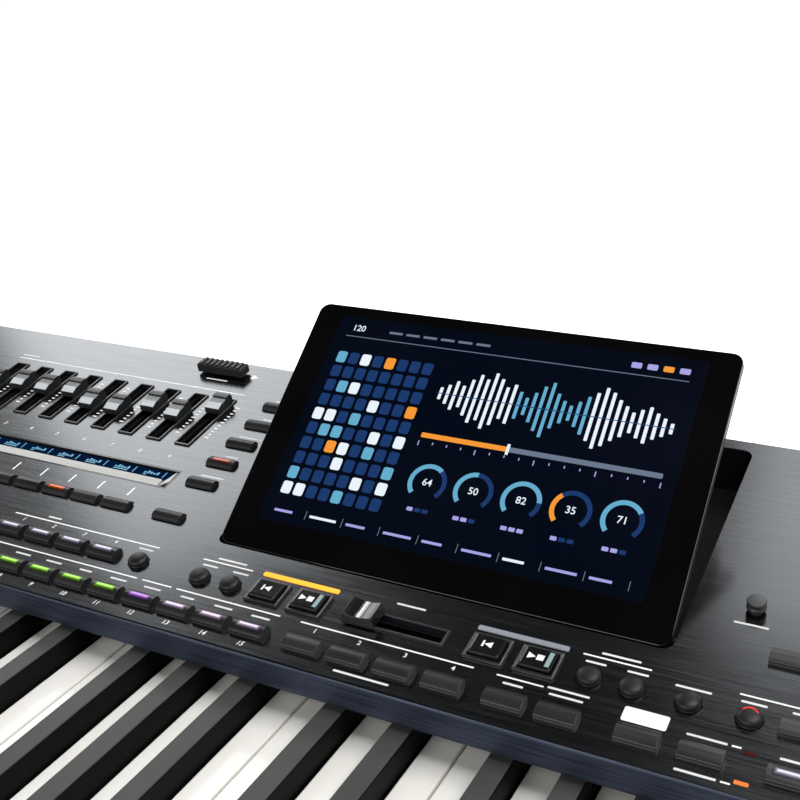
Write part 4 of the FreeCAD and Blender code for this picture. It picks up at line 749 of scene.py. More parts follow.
class Mould:
    """Gathers faces on one face of the object and turns them into one piece."""

    def __init__(self, plane: Plane) -> None:
        """Starts an empty piece.

        Args:
            plane: the face whose axes the shapes use.
        """
        self.plane = plane
        self.points: list[Vector] = []
        self.faces: list[tuple[int, ...]] = []

    def skin(self, first: list[Vector], last: list[Vector]) -> None:
        """Closes the solid between two outlines.

        Args:
            first: points of one end, clockwise seen from outside.
            last: points of the other end, in the same order.
        """
        count, base = len(first), len(self.points)
        self.points += first + last
        self.faces.append(tuple(base + i for i in reversed(range(count))))
        self.faces.append(tuple(base + count + i for i in range(count)))
        for i in range(count):
            j = (i + 1) % count
            self.faces.append((base + i, base + j, base + count + j, base + count + i))

    def prism(self, outline: Outline, low: float, high: float) -> None:
        """Adds a closed prism between two heights, from (x, s) points in counter-clockwise order."""
        self.skin([self.plane.at(x, s, low) for x, s in outline], [self.plane.at(x, s, high) for x, s in outline])

    def slab(self, x0: float, x1: float, s0: float, s1: float, low: float, high: float) -> None:
        """Adds a box between its edges and heights."""
        self.prism([(x0, s0), (x1, s0), (x1, s1), (x0, s1)], low, high)

    def rail(self, outline: Outline, x0: float, x1: float) -> None:
        """Adds a bar along x, from the (s, h) points of its section, counter-clockwise seen from the right."""
        self.skin([self.plane.at(x0, s, h) for s, h in outline], [self.plane.at(x1, s, h) for s, h in outline])

    def beam(self, outline: Outline, s0: float, s1: float) -> None:
        """Adds a bar along s, from the (x, h) points of its section, counter-clockwise seen from the front."""
        self.skin([self.plane.at(x, s1, h) for x, h in outline], [self.plane.at(x, s0, h) for x, h in outline])

    def turn(self, outline: Outline, x: float, s: float, steps: int = 36) -> None:
        """Adds a solid turned about an axis that stands on the face.

        Args:
            outline: (radius, h) points up the outside, from axis to axis, or a closed loop for a ring.
            x, s: the axis.
            steps: flat pieces to a turn.
        """
        rings = []
        for radius, h in outline:
            spots = disc(x, s, radius, steps) if radius else [(x, s)]
            rings.append([len(self.points) + i for i in range(len(spots))])
            self.points += [self.plane.at(a, b, h) for a, b in spots]
        if outline[0][0]:
            rings.append(rings[0])
        for lower, upper in zip(rings, rings[1:]):
            for i in range(steps):
                j = (i + 1) % steps
                corners = (lower[i % len(lower)], lower[j % len(lower)], upper[j % len(upper)], upper[i % len(upper)])
                self.faces.append(tuple(dict.fromkeys(corners)))

    def numeral(self, text: str, x: float, s: float, size: float, height: float, slant: float = 0.0) -> None:
        """Adds a printed number.

        Args:
            text: the digits.
            x, s: middle of the number.
            size: height of the figures.
            height: how far the print stands out.
            slant: lean of the figures.
        """
        curve = bpy.data.curves.new("numeral", "FONT")
        curve.body, curve.size, curve.shear = text, size * FIGURE_SCALE, slant
        curve.offset, curve.resolution_u = size * FIGURE_WEIGHT, FIGURE_CURVE_STEPS
        curve.align_x = curve.align_y = "CENTER"
        holder = new_object("numeral", curve)
        bpy.context.view_layer.update()
        flat = bpy.data.meshes.new_from_object(holder.evaluated_get(bpy.context.evaluated_depsgraph_get()))
        base = len(self.points)
        self.points += [self.plane.at(x + v.co.x, s + v.co.y, height) for v in flat.vertices]
        self.faces += [tuple(base + i for i in p.vertices) for p in flat.polygons]
        bpy.data.objects.remove(holder)
        bpy.data.curves.remove(curve)
        bpy.data.meshes.remove(flat)

    def piece(self, name: str, body: str, finish: Finish, slot: str, bevel: float = 0.0) -> bpy.types.Object:
        """Makes the object.

        Args:
            name: the piece's name.
            body: the CAD body that it moves with.
            finish: its finish.
            slot: the record's material slot; not used.
            bevel: width of its rounded edges.

        Returns:
            The new object.
        """
        mesh = bpy.data.meshes.new(name)
        mesh.from_pydata(self.points, [], self.faces)
        mesh.shade_smooth()
        mesh.update()
        made = new_object(name, mesh)
        mesh.materials.append(finish.material())
        if bevel:
            soften(made, bevel)
        else:
            mesh.set_sharp_from_angle(angle=SHARP_ANGLE)
        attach(made, body)
        LOG.info("piece %s: %d faces on %s", name, len(self.faces), body)
        return made


def soften(piece: bpy.types.Object, width: float, segments: int = 2) -> None:
    """Rounds a piece's sharp edges.

    Args:
        piece: the object.
        width: width of the rounding, in millimetres.
        segments: strips across it.
    """
    bevel = piece.modifiers.new("edges", "BEVEL")
    bevel.width = width * MM
    bevel.segments = segments
    bevel.limit_method = "ANGLE"
    bevel.angle_limit = SHARP_ANGLE
    bevel.harden_normals = False
    normals = piece.modifiers.new("shading", "WEIGHTED_NORMAL")
    normals.keep_sharp = True


def dress(node: str, finish: Finish, bevel: float = 0.0) -> None:
    """Gives a CAD node its finish and its rounded edges.

    Args:
        node: the node's name.
        finish: its finish.
        bevel: width of its rounded edges, or zero for none.
    """
    piece = frame["nodes"][node]
    piece.data.materials.clear()
    piece.data.materials.append(finish.material())
    if bevel:
        weld = piece.modifiers.new("weld", "WELD")
        weld.merge_threshold = WELD_GAP * MM
        flat = piece.modifiers.new("flat faces", "DECIMATE")
        flat.decimate_type = "DISSOLVE"
        flat.angle_limit = FLAT_ANGLE
        soften(piece, bevel)
    LOG.info("node %s: %s", node, finish.name)


@dataclass
class Casework:
    """Body, feet and screws."""

    case_edge: float = 0.8
    rim_edge: float = 0.25
    frame_edge: float = 0.3
    foot_sink: float = 0.1
    foot_radius: float = 15.0
    foot_edge: float = 1.7
    foot_chamfer: float = 0.5
    foot_dish: Triple = (10.5, 9.8, 0.8)
    foot_steps: int = 48
    screw_radius: float = 3.6
    screw_inset: float = 12.0
    screw_columns: tuple[float, ...] = (-400.0, -200.0, 0.0, 200.0, 400.0)
    screw_profile: Profile = ((0.0, -0.2), (1.0, -0.2), (1.0, 0.6), (0.85, 1.3), (0.45, 1.6), (0.0, 1.65))
    screw_steps: int = 24
    cross_arms: Profile = ((1.8, 0.4), (0.4, 1.8))
    cross_heights: Pair = (1.0, 1.68)

    def build(self) -> None:
        """Dresses the case and fits its underside."""
        self.dress_nodes()
        low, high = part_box("bottom_case")
        under = Plane(Vector((0.0, 0.0, low.z)), Vector((0.0, -1.0, 0.0)), Vector((0.0, 0.0, -1.0)))
        self.feet(under)
        self.screws(under, (low.y / MM + self.screw_inset, high.y / MM - self.screw_inset))

    def dress_nodes(self) -> None:
        """Gives the fixed CAD nodes their finishes."""
        dress("top_panel", PANEL_METAL_WITH_BAND_SHADE)
        for node in ("left_end_block", "right_end_block", "key_slip"):
            dress(node, CASE_PLASTIC, self.case_edge)
        for node in ("bottom_case", "rear_panel", "display_hinge_pins"):
            dress(node, BLACK_STEEL)
        for node in ("key_chassis", "power_supply"):
            dress(node, ZINC)
        dress("circuit_boards", BOARD_GREEN)
        dress("fader_tracks", SLOT_BLACK)
        dress("slider_rims", RIM_GREY, self.rim_edge)
        dress("transport_frames", RIM_GREY, self.frame_edge)

    def feet(self, under: Plane) -> None:
        """Turns the rubber feet, each with a dished sole.

        Args:
            under: the bottom case's lower face, with s towards the front.
        """
        radius, edge, chamfer, sink = self.foot_radius, self.foot_edge, self.foot_chamfer, self.foot_sink
        rim, floor, depth = self.foot_dish
        feet = Mould(under)
        for foot in islands("rubber_feet", under):
            top = foot.top
            feet.turn([(0, -sink), (radius, -sink), (radius, top - edge), (radius - chamfer, top - chamfer),
                       (radius - edge, top), (rim, top), (floor, top - depth), (0, top - depth)],
                      foot.x, foot.s, self.foot_steps)
        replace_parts(feet.piece("turned_feet", "body", RUBBER, "rubber"), "rubber_feet")

    def screws(self, under: Plane, rows: Pair) -> None:
        """Sets the cross-slotted screw heads of the bottom case, with black slabs painted where the cross recess would
        be in shade.

        Args:
            under: the bottom case's lower face, with s towards the front.
            rows: the two places along Y that they stand at.
        """
        heads, slot_shade = Mould(under), Mould(under)
        profile = [(share * self.screw_radius, h) for share, h in self.screw_profile]
        for x in self.screw_columns:
            for y in rows:
                heads.turn(profile, x, -y, self.screw_steps)
                # The cross recess is not cut: thin black slabs on the head's top are painted shade.
                for wide, deep in self.cross_arms:
                    slot_shade.slab(x - wide, x + wide, -y - deep, -y + deep, *self.cross_heights)
        heads.piece("screw_heads", "body", ZINC, "zinc_steel")
        slot_shade.piece("screw_slot_shade", "body", SLOT_BLACK, "dark_trim")


@dataclass(frozen=True)
class Rule:
    """A printed line along a run of controls.

    Args:
        first, last: numbers of the controls at its ends.
        before, after: how far it reaches left of the first one's middle and right of the last one's.
        s: its place up the slope.
    """

    first: int
    last: int
    before: float
    after: float
    s: float


@dataclass(frozen=True)
class Bar:
    """A plain printed bar over one control or midway between two.

    Args:
        first, last: numbers of the controls.
        shift: how far right of their middle it lies.
        s: its place up the slope.
        width: its length.
    """

    first: int
    last: int
    shift: float
    s: float
    width: float


@dataclass(frozen=True)
class Figures:
    """Printed numbers along a row.

    Args:
        s: their place up the slope.
        size: their height.
        lean: their slant.
        shift: how far right of the controls they stand.
    """

    s: float
    size: float
    lean: float = 0.2
    shift: float = 0.0


@dataclass(frozen=True)
class RowPrint:
    """All that is printed along one row of controls."""

    rules: tuple[Rule, ...] = ()
    bars: tuple[Bar, ...] = ()
    figures: Figures | None = None


STYLE_PRINT = RowPrint((Rule(-3, -1, 8.2, 7.4, 24.2), Rule(-4, -4, 8.0, 7.8, 24.2), Rule(0, -5, 8.0, 7.6, 24.2)),
                       figures=Figures(5.0, 2.6))
PAD_PRINT = RowPrint((Rule(0, -1, 8.0, 23.0, 44.8),), (Bar(1, 1, -4.0, 47.5, 8.0), Bar(-1, -1, 17.5, 42.0, 8.0)),
                     Figures(42.0, 2.5))
ROUND_PRINT = RowPrint((Rule(1, 2, 6.0, 4.2, 45.0), Rule(3, 4, 6.0, 4.2, 45.0), Rule(6, 6, 5.6, 40.0, 44.4)),
                       (Bar(1, 2, 0.0, 47.5, 15.0), Bar(1, 1, 0.0, 41.8, 8.0), Bar(2, 2, 0.0, 41.8, 8.0),
                        Bar(3, 4, 0.0, 47.5, 15.0), Bar(3, 3, 0.0, 41.8, 8.0), Bar(4, 4, 0.0, 41.8, 8.0),
                        Bar(5, 5, 0.0, 41.0, 13.0), Bar(6, 6, 0.0, 41.3, 9.0)))
SET_PRINT = RowPrint((Rule(0, 3, 8.0, 7.6, 24.2), Rule(4, 4, 7.6, 10.9, 24.0), Rule(7, 7, -8.4, 11.6, 20.3),
                      Rule(7, 7, -8.4, 11.6, 4.2)),
                     (Bar(4, 4, 0.0, 21.0, 8.0), Bar(5, 5, 0.0, 24.5, 16.0), Bar(5, 5, 0.0, 21.6, 13.0),
                      Bar(7, 7, 0.0, 20.3, 14.0), Bar(7, 7, 0.0, 4.2, 14.0)))
SET_NUMBERS = RowPrint(figures=Figures(21.3, 2.5, lean=0.0, shift=0.4))
SLIDER_PRINT = RowPrint((Rule(0, -1, 9.0, 5.2, 170.0),), (Bar(0, 0, -2.5, 173.4, 13.0),), Figures(108.0, 2.7))


@dataclass
class PanelPrint:
    """White lines, ticks and numbers and plain grey bars on the panel."""

    controls: Controls
    rise: float = 0.05
    sink: float = 0.02
    line_half: float = 0.35
    bar_half: float = 0.5
    bar_corner: float = 0.3
    bar_corner_steps: int = 2
    style_bar_s: float = 20.8
    style_bar_widths: tuple[float, ...] = (7.0, 9.0, 9.0)
    crossfader_bars: tuple[Triple, ...] = ((0.3, 47.0, 13.0), (-0.7, 5.0, 24.0))
    numbered_sets: int = 4
    plate_set: int = 6
    plate: tuple[float, float, float, float] = (-8.0, 8.2, 18.6, 25.4)
    plate_corner: float = 0.8
    tick_count: int = 11
    tick_start: float = 128.2
    tick_pitch: float = 2.93
    tick_shift: float = 9.2
    tick_half: float = 0.9
    long_tick_half: float = 1.3
    long_tick_every: int = 5
    stroke_half: float = 0.45
    lead_line: Pair = (73.6, 80.0)
    mode_bar: Pair = (1.5, 6.4)
    mode_bar_widths: tuple[float, ...] = (13.0, 7.0)
    bank_bar: Pair = (8.0, 10.0)
    knob_bar: Pair = (8.5, 13.0)
    lock_bar: Pair = (3.6, 14.0)
    lock_sign: Pair = (21.0, 4.4)
    ink: Mould = field(init=False)
    bars: Mould = field(init=False)

    def __post_init__(self) -> None:
        """Starts the white and the grey print."""
        self.ink, self.bars = self.controls.mould(), self.controls.mould()

    def build(self) -> None:
        """Prints every row and makes the two pieces."""
        rows = self.controls
        for row, what in ((rows.styles, STYLE_PRINT), (rows.pads, PAD_PRINT), (rows.rounds, ROUND_PRINT),
                          (rows.sets, SET_PRINT), (rows.sets[:self.numbered_sets], SET_NUMBERS),
                          (rows.rims, SLIDER_PRINT)):
            self.row(row, what)
        self.plain_bars()
        self.set_plate()
        self.slider_ticks()
        self.rear_lock()
        self.ink.piece("panel_print", "body", PRINT_WHITE, "panel_metal")
        self.bars.piece("panel_labels", "body", PRINT_GREY, "panel_metal")

    def white(self, x0: float, x1: float, s0: float, s1: float) -> None:
        """Prints a white rectangle between its edges."""
        self.ink.slab(x0, x1, s0, s1, -self.sink, self.rise)

    def bar(self, x: float, s: float, width: float) -> None:
        """Prints a plain grey bar of some width about a place."""
        outline = rounded_rectangle(x - width / 2, x + width / 2, s - self.bar_half, s + self.bar_half,
                                    self.bar_corner, self.bar_corner_steps)
        self.bars.prism(outline, -self.sink, self.rise)

    def row(self, row: list[Island], what: RowPrint) -> None:
        """Prints the lines, bars and numbers of one row.

        Args:
            row: its controls.
            what: its print.
        """
        for rule in what.rules:
            self.white(row[rule.first].x - rule.before, row[rule.last].x + rule.after,
                       rule.s - self.line_half, rule.s + self.line_half)
        for bar in what.bars:
            self.bar((row[bar.first].x + row[bar.last].x) / 2 + bar.shift, bar.s, bar.width)
        if what.figures:
            figures = what.figures
            for number, control in enumerate(row, 1):
                self.ink.numeral(str(number), control.x + figures.shift, figures.s, figures.size, self.rise,
                                 figures.lean)

    def plain_bars(self) -> None:
        """Prints the bars that follow single buttons, the crossfader, the unlock knob and the rear lock."""
        rows = self.controls
        for index, button in enumerate(rows.styles):
            self.bar(button.x, self.style_bar_s, self.style_bar_widths[index % len(self.style_bar_widths)])
        for x, s, width in self.crossfader_bars:
            self.bar(x, s, width)
        right, behind = self.mode_bar
        for index, button in enumerate(rows.modes):
            self.bar(button.x + right, button.s + behind, self.mode_bar_widths[index % len(self.mode_bar_widths)])
        behind, width = self.bank_bar
        for button in rows.all("set_buttons"):
            if button.x > rows.middle[1]:
                self.bar(button.x, button.s + behind, width)
        knob, lock = rows.one("unlock_knob"), rows.one("rear_lock_slide")
        self.bar(knob.x, knob.s - self.knob_bar[0], self.knob_bar[1])
        self.bar(lock.x, lock.low.y - self.lock_bar[0], self.lock_bar[1])

    def set_plate(self) -> None:
        """Prints the white block behind one of the set buttons."""
        own = self.controls.sets[self.plate_set]
        left, right, front, rear = self.plate
        self.ink.prism(rounded_rectangle(own.x + left, own.x + right, front, rear, self.plate_corner),
                       -self.sink, self.rise)

    def slider_ticks(self) -> None:
        """Prints the scale beside each slider and the line down to its place on the strip screen."""
        for rim in self.controls.rims:
            x = rim.x + self.tick_shift
            for tick in range(self.tick_count):
                s = self.tick_start + self.tick_pitch * tick
                half = self.tick_half if tick % self.long_tick_every else self.long_tick_half
                self.white(x - half, x + half, s - self.stroke_half, s + self.stroke_half)
            self.white(rim.x - self.stroke_half, rim.x + self.stroke_half, *self.lead_line)

    def rear_lock(self) -> None:
        """Prints the pointed sign beside the rear lock."""
        lock = self.controls.one("rear_lock_slide")
        shift, size = self.lock_sign
        self.ink.prism(pointer(lock.x + shift, lock.s, size, Side.RIGHT), -self.sink, self.rise)


@dataclass(frozen=True)
class CapShape:
    """Barrel-topped cap.

    Args:
        half: half its depth.
        edge, crown: heights of the arch's edges and of its middle.
        finish: the cap's finish.
    """

    half: float
    edge: float
    crown: float
    finish: Finish

    def height(self, offset: float) -> float:
        """Gives the cap's height at a distance from its middle."""
        return self.crown - arch_drop(self.half, self.crown - self.edge, offset)

    def arch(self, start: float, end: float, steps: int, lift: float = 0.0) -> Outline:
        """Gives (offset, h) points along the arched top, or over it by a lift, from start to end."""
        return [(o, self.height(o) + lift) for o in spaced(start, end, steps)]


CAP_SHAPES = {"style_buttons": CapShape(4.0, 1.5, 3.3, BUTTON), "control_buttons": CapShape(3.5, 1.0, 2.6, BUTTON),
              "set_buttons": CapShape(4.05, 1.6, 2.9, SET_BUTTON)}


@dataclass
class ButtonRows:
    """Push buttons with their light windows and signs."""

    controls: Controls
    transport_edge: float = 0.5
    cap_grow: float = 0.3
    cap_root: float = -1.5
    cap_steps: int = 20
    cap_edge: float = 0.18
    lip: float = 0.25
    lip_top: float = 0.8
    round_radius: float = 4.5
    round_edge: float = 1.2
    round_power: float = 2.6
    round_crown: float = 3.3
    round_skirt: Triple = (0.15, 0.4, 0.6)
    dome_steps: int = 10
    round_steps: int = 48
    core: Triple = (4.2, 0.1, 0.9)
    halo: Triple = (5.9, -1.7, 2.0)
    glow_shares: tuple[float, ...] = (0.03, 0.08, 0.2, 0.5, 1.0)
    window_steps: int = 6
    window_sink: float = 0.2
    window_rise: float = 0.02
    split_button: int = 6
    split_radii: Pair = (1.7, 3.1)
    split_ends: Pair = (25.0, 155.0)
    split_drops: Pair = (1.6, 0.2)
    lens_edge: float = 0.2
    sign_sink: float = 0.1
    sign_rise: float = 0.06
    arrow_size: float = 3.2
    back_arrow: float = 0.4
    back_bar: Triple = (-2.1, -1.3, 1.6)
    play_arrow: float = -2.4
    stop_square: Triple = (-0.4, 2.4, 1.4)
    key_strip: Triple = (3.7, 5.5, 3.8)
    bar_corner: float = 0.8
    bar_root: float = -2.0
    list_button: int = 7
    list_span: Pair = (12.4, 17.2)
    list_half: float = 0.8
    list_corner: float = 0.4
    list_heights: Pair = (-0.1, 0.25)
    list_edge: float = 0.1
    list_places: tuple[tuple[str, float, Finish], ...] = (("category_light", 18.7, LED_DARK),
                                                          ("favourite_light", 5.7, LED_ORANGE))

    def build(self) -> None:
        """Builds the caps, then their lights and signs."""
        dress("transport_buttons", GLOSS_BLACK, self.transport_edge)
        self.caps()
        self.round_caps()
        self.light_windows()
        self.round_light()
        self.transport_signs()
        self.light_bars()
        self.list_lights()

    def caps(self) -> None:
        """Replaces the flat-sided caps by finely arched ones with a small lip in front."""
        root, grow = self.cap_root, self.cap_grow
        for node, shape in CAP_SHAPES.items():
            half = shape.half - self.lip
            section = [(-shape.half, root), (half, root), *shape.arch(half, -half, self.cap_steps),
                       (-half, self.lip_top), (-shape.half, self.lip_top - self.lip)]
            bank = self.controls.mould()
            for cap in self.controls.all(node):
                bank.rail([(cap.s + o, h) for o, h in section], cap.low.x - grow, cap.high.x + grow)
            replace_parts(bank.piece(f"{node}_arched", node, shape.finish, "button_plastic", self.cap_edge), node)

    def round_caps(self) -> None:
        """Replaces the round caps by finely domed ones."""
        radius, power, rise = self.round_radius, self.round_power, self.round_crown - self.round_edge
        grow, skirt_top, seam = self.round_skirt
        dome = [(0.0, self.cap_root), (radius + grow, self.cap_root), (radius + grow, skirt_top), (radius, seam)]
        for i in range(self.dome_steps + 1):
            up = math.sin(0.5 * math.pi * i / self.dome_steps)
            dome.append((radius * (1 - up ** power) ** (1 / power), self.round_edge + rise * up))
        bank = self.controls.mould()
        for cap in self.controls.rounds:
            bank.turn(dome, cap.x, cap.s, self.round_steps)
        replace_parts(bank.piece("round_buttons_domed", "round_buttons", ROUND_BUTTON, "button_plastic"),
                    "round_buttons")

    def window(self, lens: Mould, cap: Island, shape: CapShape, layer: int) -> None:
        """Lays one layer of a curved light window on the crown of a cap.

        Args:
            lens: the windows of one colour.
            cap: the button.
            shape: the button's shape.
            layer: the layer's number, from the widest and dimmest up.
        """
        share = layer / (len(self.glow_shares) - 1)
        half, front, rear = (h + share * (c - h) for h, c in zip(self.halo, self.core))
        lift = (layer + 1) * self.window_rise
        outline = (shape.arch(front, rear, self.window_steps, -self.window_sink)
                   + shape.arch(rear, front, self.window_steps, lift))
        lens.rail([(cap.s + o, h) for o, h in outline], cap.x - half, cap.x + half)

    def light_windows(self) -> None:
        """Makes the lit windows of the buttons that are on."""
        rows = self.controls
        styles = rows.styles
        groups = (
            ("style_lights_green", "style_buttons", LED_GREEN, styles[7:11]),
            ("style_light_violet", "style_buttons", LED_VIOLET, styles[11:12]),
            ("style_lights_pink", "style_buttons", LED_PINK, styles[12:15]),
            ("style_lights_pale", "style_buttons", LED_PALE, styles[:7] + rows.pads),
            ("assign_light", "control_buttons", LED_ORANGE, rows.assign[6:7]),
            ("mode_light", "control_buttons", LED_ROSE, rows.modes[1:2]),
            ("bank_lights", "set_buttons", LED_PALE, rows.bank),
        )
        for name, body, lit, caps in groups:
            for layer, share in enumerate(self.glow_shares):
                lens = rows.mould()
                for cap in caps:
                    self.window(lens, cap, CAP_SHAPES[body], layer)
                finish = replace(lit, name=f"{lit.name}_{layer}", dark=tuple(share * c for c in lit.dark),
                                 light=tuple(share * c for c in lit.light), glow=share * lit.glow)
                lens.piece(f"{name}_{layer}", body, finish, "button_plastic")

    def round_light(self) -> None:
        """Makes the lit arc on the last round button."""
        cap = self.controls.rounds[self.split_button]
        low, high = (self.round_crown - drop for drop in self.split_drops)
        lens = self.controls.mould()
        lens.prism(arc_band(cap.x, cap.s, *self.split_radii, *self.split_ends), low, high)
        lens.piece("split_light", "round_buttons", LED_RED, "button_plastic", self.lens_edge)

    def patch(self, signs: Mould, cap: Island, size: Triple) -> None:
        """Lays a flat rectangle on a transport key, given by its left and right edge and half its depth."""
        left, right, half = size
        signs.slab(cap.x + left, cap.x + right, cap.s - half, cap.s + half,
                   cap.top - self.sign_sink, cap.top + self.sign_rise)

    def arrow(self, signs: Mould, cap: Island, shift: float, side: Side) -> None:
        """Lays a triangle on a transport key, shifted from the key's middle."""
        signs.prism(pointer(cap.x + shift, cap.s, self.arrow_size, side),
                    cap.top - self.sign_sink, cap.top + self.sign_rise)

    def transport_signs(self) -> None:
        """Puts the white signs and the light strips on the transport keys."""
        signs, strips = self.controls.mould(), self.controls.mould()
        for index, cap in enumerate(self.controls.all("transport_buttons")):
            if index % 2 == 0:
                self.patch(signs, cap, self.back_bar)
                self.arrow(signs, cap, self.back_arrow, Side.LEFT)
            else:
                self.arrow(signs, cap, self.play_arrow, Side.RIGHT)
                self.patch(signs, cap, self.stop_square)
                self.patch(strips, cap, self.key_strip)
        signs.piece("transport_signs", "transport_buttons", PRINT_WHITE, "button_plastic")
        strips.piece("transport_strips", "transport_buttons", LED_TEAL, "button_plastic")

    def light_bars(self) -> None:
        """Replaces the two light bars, the left one lit; the right one is off, and its faint glow is painted light."""
        bars = self.controls.all("light_bars")
        for bar, name, finish in zip(bars, ("light_bar_left", "light_bar_right"), (LED_AMBER, LED_OFF_PAINTED_GLOW)):
            lens = self.controls.mould()
            lens.prism(rounded_rectangle(bar.low.x, bar.high.x, bar.low.y, bar.high.y, self.bar_corner),
                       self.bar_root, bar.top)
            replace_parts(lens.piece(name, "body", finish, "light_pipe", self.lens_edge), "light_bars")

    def list_lights(self) -> None:
        """Sets the two small lights beside one of the set buttons."""
        button = self.controls.sets[self.list_button]
        left, right = self.list_span
        for name, s, finish in self.list_places:
            lens = self.controls.mould()
            lens.prism(rounded_rectangle(button.x + left, button.x + right, s - self.list_half, s + self.list_half,
                                         self.list_corner), *self.list_heights)
            lens.piece(name, "body", finish, "panel_metal", self.list_edge)


@dataclass
class Sliders:
    """Slider caps, the crossfader and the strip screen."""

    controls: Controls
    count: int = 9
    cap_section: Profile = (
        (-6.7, 1.3), (6.7, 1.3), (6.7, 5.4), (5.8, 6.8), (4.0, 7.0), (2.2, 6.9), (1.9, 5.7), (1.6, 6.1), (-1.9, 5.6),
        (-2.1, 5.2), (-2.3, 6.0), (-6.3, 4.4))
    cap_edge: float = 0.22
    step_slope: float = math.atan2(1.6, 4.0)
    stem_half: Pair = (0.7, 2.5)
    stem_top: float = 1.4
    band_section: Profile = ((0.9, -0.5), (5.2, -0.9), (5.2, 0.75), (0.9, 0.1))
    band_ends: Pair = (0.9, 5.2)
    band_corner: Profile = ((4.5, 0.9), (0.9, 5.6), (1.7, 13.2))
    corner_heights: Pair = (-0.5, 0.3)
    band_edge: float = 0.12
    lens_ends: Pair = (1.0, 4.9)
    lens_places: Pair = (5.2, 12.4)
    lens_bottom: float = -3.1
    lens_top: float = -0.5
    rim_wall: float = 0.9
    slit_half: float = 1.6
    liner_heights: Pair = (-1.9, -1.7)
    fader_shoulder: float = 1.3
    fader_root: float = 1.3
    fader_edge: float = 0.35
    dish: float = 1.3
    dish_steps: int = 16
    trim_sink: float = 0.3
    trim_inset: float = 0.4
    trims: tuple[tuple[str, float, float, float, Finish], ...] = (
        ("crossfader_slope", 2.4, 5.6, 0.06, RIM_GREY), ("crossfader_band", -1.3, 1.3, 0.06, BRIGHT_METAL),
        ("crossfader_line", -0.4, 0.4, 0.10, PRINT_WHITE))
    mark_sink: float = 0.02
    mark_rise: float = 0.06
    marks_inset: float = 7.6
    meter_bars: int = 5
    meter_left: float = 4.6
    meter_pitch: float = 1.9
    meter_width: float = 1.2
    meter_foot: float = 1.2
    meter_height: float = 1.1
    meter_step: float = 0.5
    dash_unit: float = 2.2
    dash_depth: float = 0.6
    divider: Triple = (7.4, 7.9, 4.4)

    def build(self) -> None:
        """Builds the caps, the strip screen and the crossfader."""
        dress("strip_screen_frame", GLOSS_BLACK)
        dress("strip_screen", STRIP_NAVY)
        self.caps()
        self.strip_trim()
        self.slot_floors()
        self.crossfader()
        self.strip_marks()

    def caps(self) -> None:
        """Builds the slider caps with their two bright steps and the raised rear."""
        panel = self.controls.panel
        facing = math.cos(self.step_slope) * panel.out - math.sin(self.step_slope) * panel.up
        finish = TwoTone("slider_cap", *grey(0.006, 0.012, -0.15), 0.28, 0.4, Grain.BRUSHED, shine=0.3, relief=0.05,
                         facing=tuple(facing), turned_away=0.955, turned_to=0.999,
                         face_dark=(0.38, 0.40, 0.41), face_light=(0.56, 0.58, 0.59))
        wide, deep = self.stem_half
        for number in range(self.count):
            node = f"slider_cap_{number + 1}"
            cap = self.controls.one(node)
            mould = self.controls.mould()
            mould.rail([(cap.s + o, h) for o, h in self.cap_section], cap.low.x, cap.high.x)
            mould.slab(cap.x - wide, cap.x + wide, cap.s - deep, cap.s + deep, cap.low.z, self.stem_top)
            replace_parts(mould.piece(f"{node}_stepped", node, finish, "cap_silver", self.cap_edge), node)

    def strip_trim(self) -> None:
        """Lays the front band, the end and the lens round the strip screen; the pale grey of the band and the end is a
        painted reflection of the bright surroundings on their sloped faces.
        """
        edge = self.controls.one("strip_screen_frame")
        x0, x1, s0 = edge.low.x, edge.high.x, edge.low.y
        band = self.controls.mould()
        band.rail([(s0 + s, h) for s, h in self.band_section], x0 + self.band_ends[0], x1 - self.band_ends[1])
        band.prism([(x1 - x, s0 + s) for x, s in self.band_corner], *self.corner_heights)
        band.piece("strip_band", "body", STRIP_PAINTED_REFLECTION, "cap_silver", self.band_edge)
        lens = self.controls.mould()
        lens.slab(x0 + self.lens_ends[0], x1 - self.lens_ends[1], s0 + self.lens_places[0], s0 + self.lens_places[1],
                  self.lens_bottom, self.lens_top)
        lens.piece("strip_lens", "body", STRIP_NAVY, "screen")

    def slot_floors(self) -> None:
        """Blackens the inside of every slider slot just under the panel."""
        liner = self.controls.mould()
        wall, slit, heights = self.rim_wall, self.slit_half, self.liner_heights
        for rim in self.controls.all("slider_rims"):
            x0, x1, s0, s1 = rim.low.x + wall, rim.high.x - wall, rim.low.y + wall, rim.high.y - wall
            if x1 - x0 < s1 - s0:
                liner.slab(x0, rim.x - slit, s0, s1, *heights)
                liner.slab(rim.x + slit, x1, s0, s1, *heights)
            else:
                liner.slab(x0, x1, s0, rim.s - slit, *heights)
                liner.slab(x0, x1, rim.s + slit, s1, *heights)
        liner.piece("slot_liners", "body", SLOT_BLACK, "dark_trim")

    def crossfader(self) -> None:
        """Builds the dished crossfader cap with its bright bands."""
        cap = self.controls.one("crossfader_cap")
        half = (cap.high.x - cap.low.x) / 2
        shoulder, root = half - self.fader_shoulder, self.fader_root

        def floor(start: float, end: float, lift: float) -> Outline:
            """Gives points along the dish between two places across the cap."""
            return [(cap.x + a, cap.top + lift - self.dish + arch_drop(shoulder, self.dish, a))
                    for a in spaced(start, end, self.dish_steps)]

        body = self.controls.mould()
        body.beam([(cap.x - half, root), (cap.x + half, root), *floor(shoulder, -shoulder, 0.0)],
                  cap.low.y, cap.high.y)
        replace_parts(body.piece("crossfader_body", "crossfader_cap", GLOSS_BLACK, "cap_silver", self.fader_edge),
                    "crossfader_cap")
        for name, start, end, lift, finish in self.trims:
            band = self.controls.mould()
            band.beam(floor(start, end, -self.trim_sink) + floor(end, start, lift),
                      cap.low.y + self.trim_inset, cap.high.y - self.trim_inset)
            band.piece(name, "crossfader_cap", finish, "cap_silver")

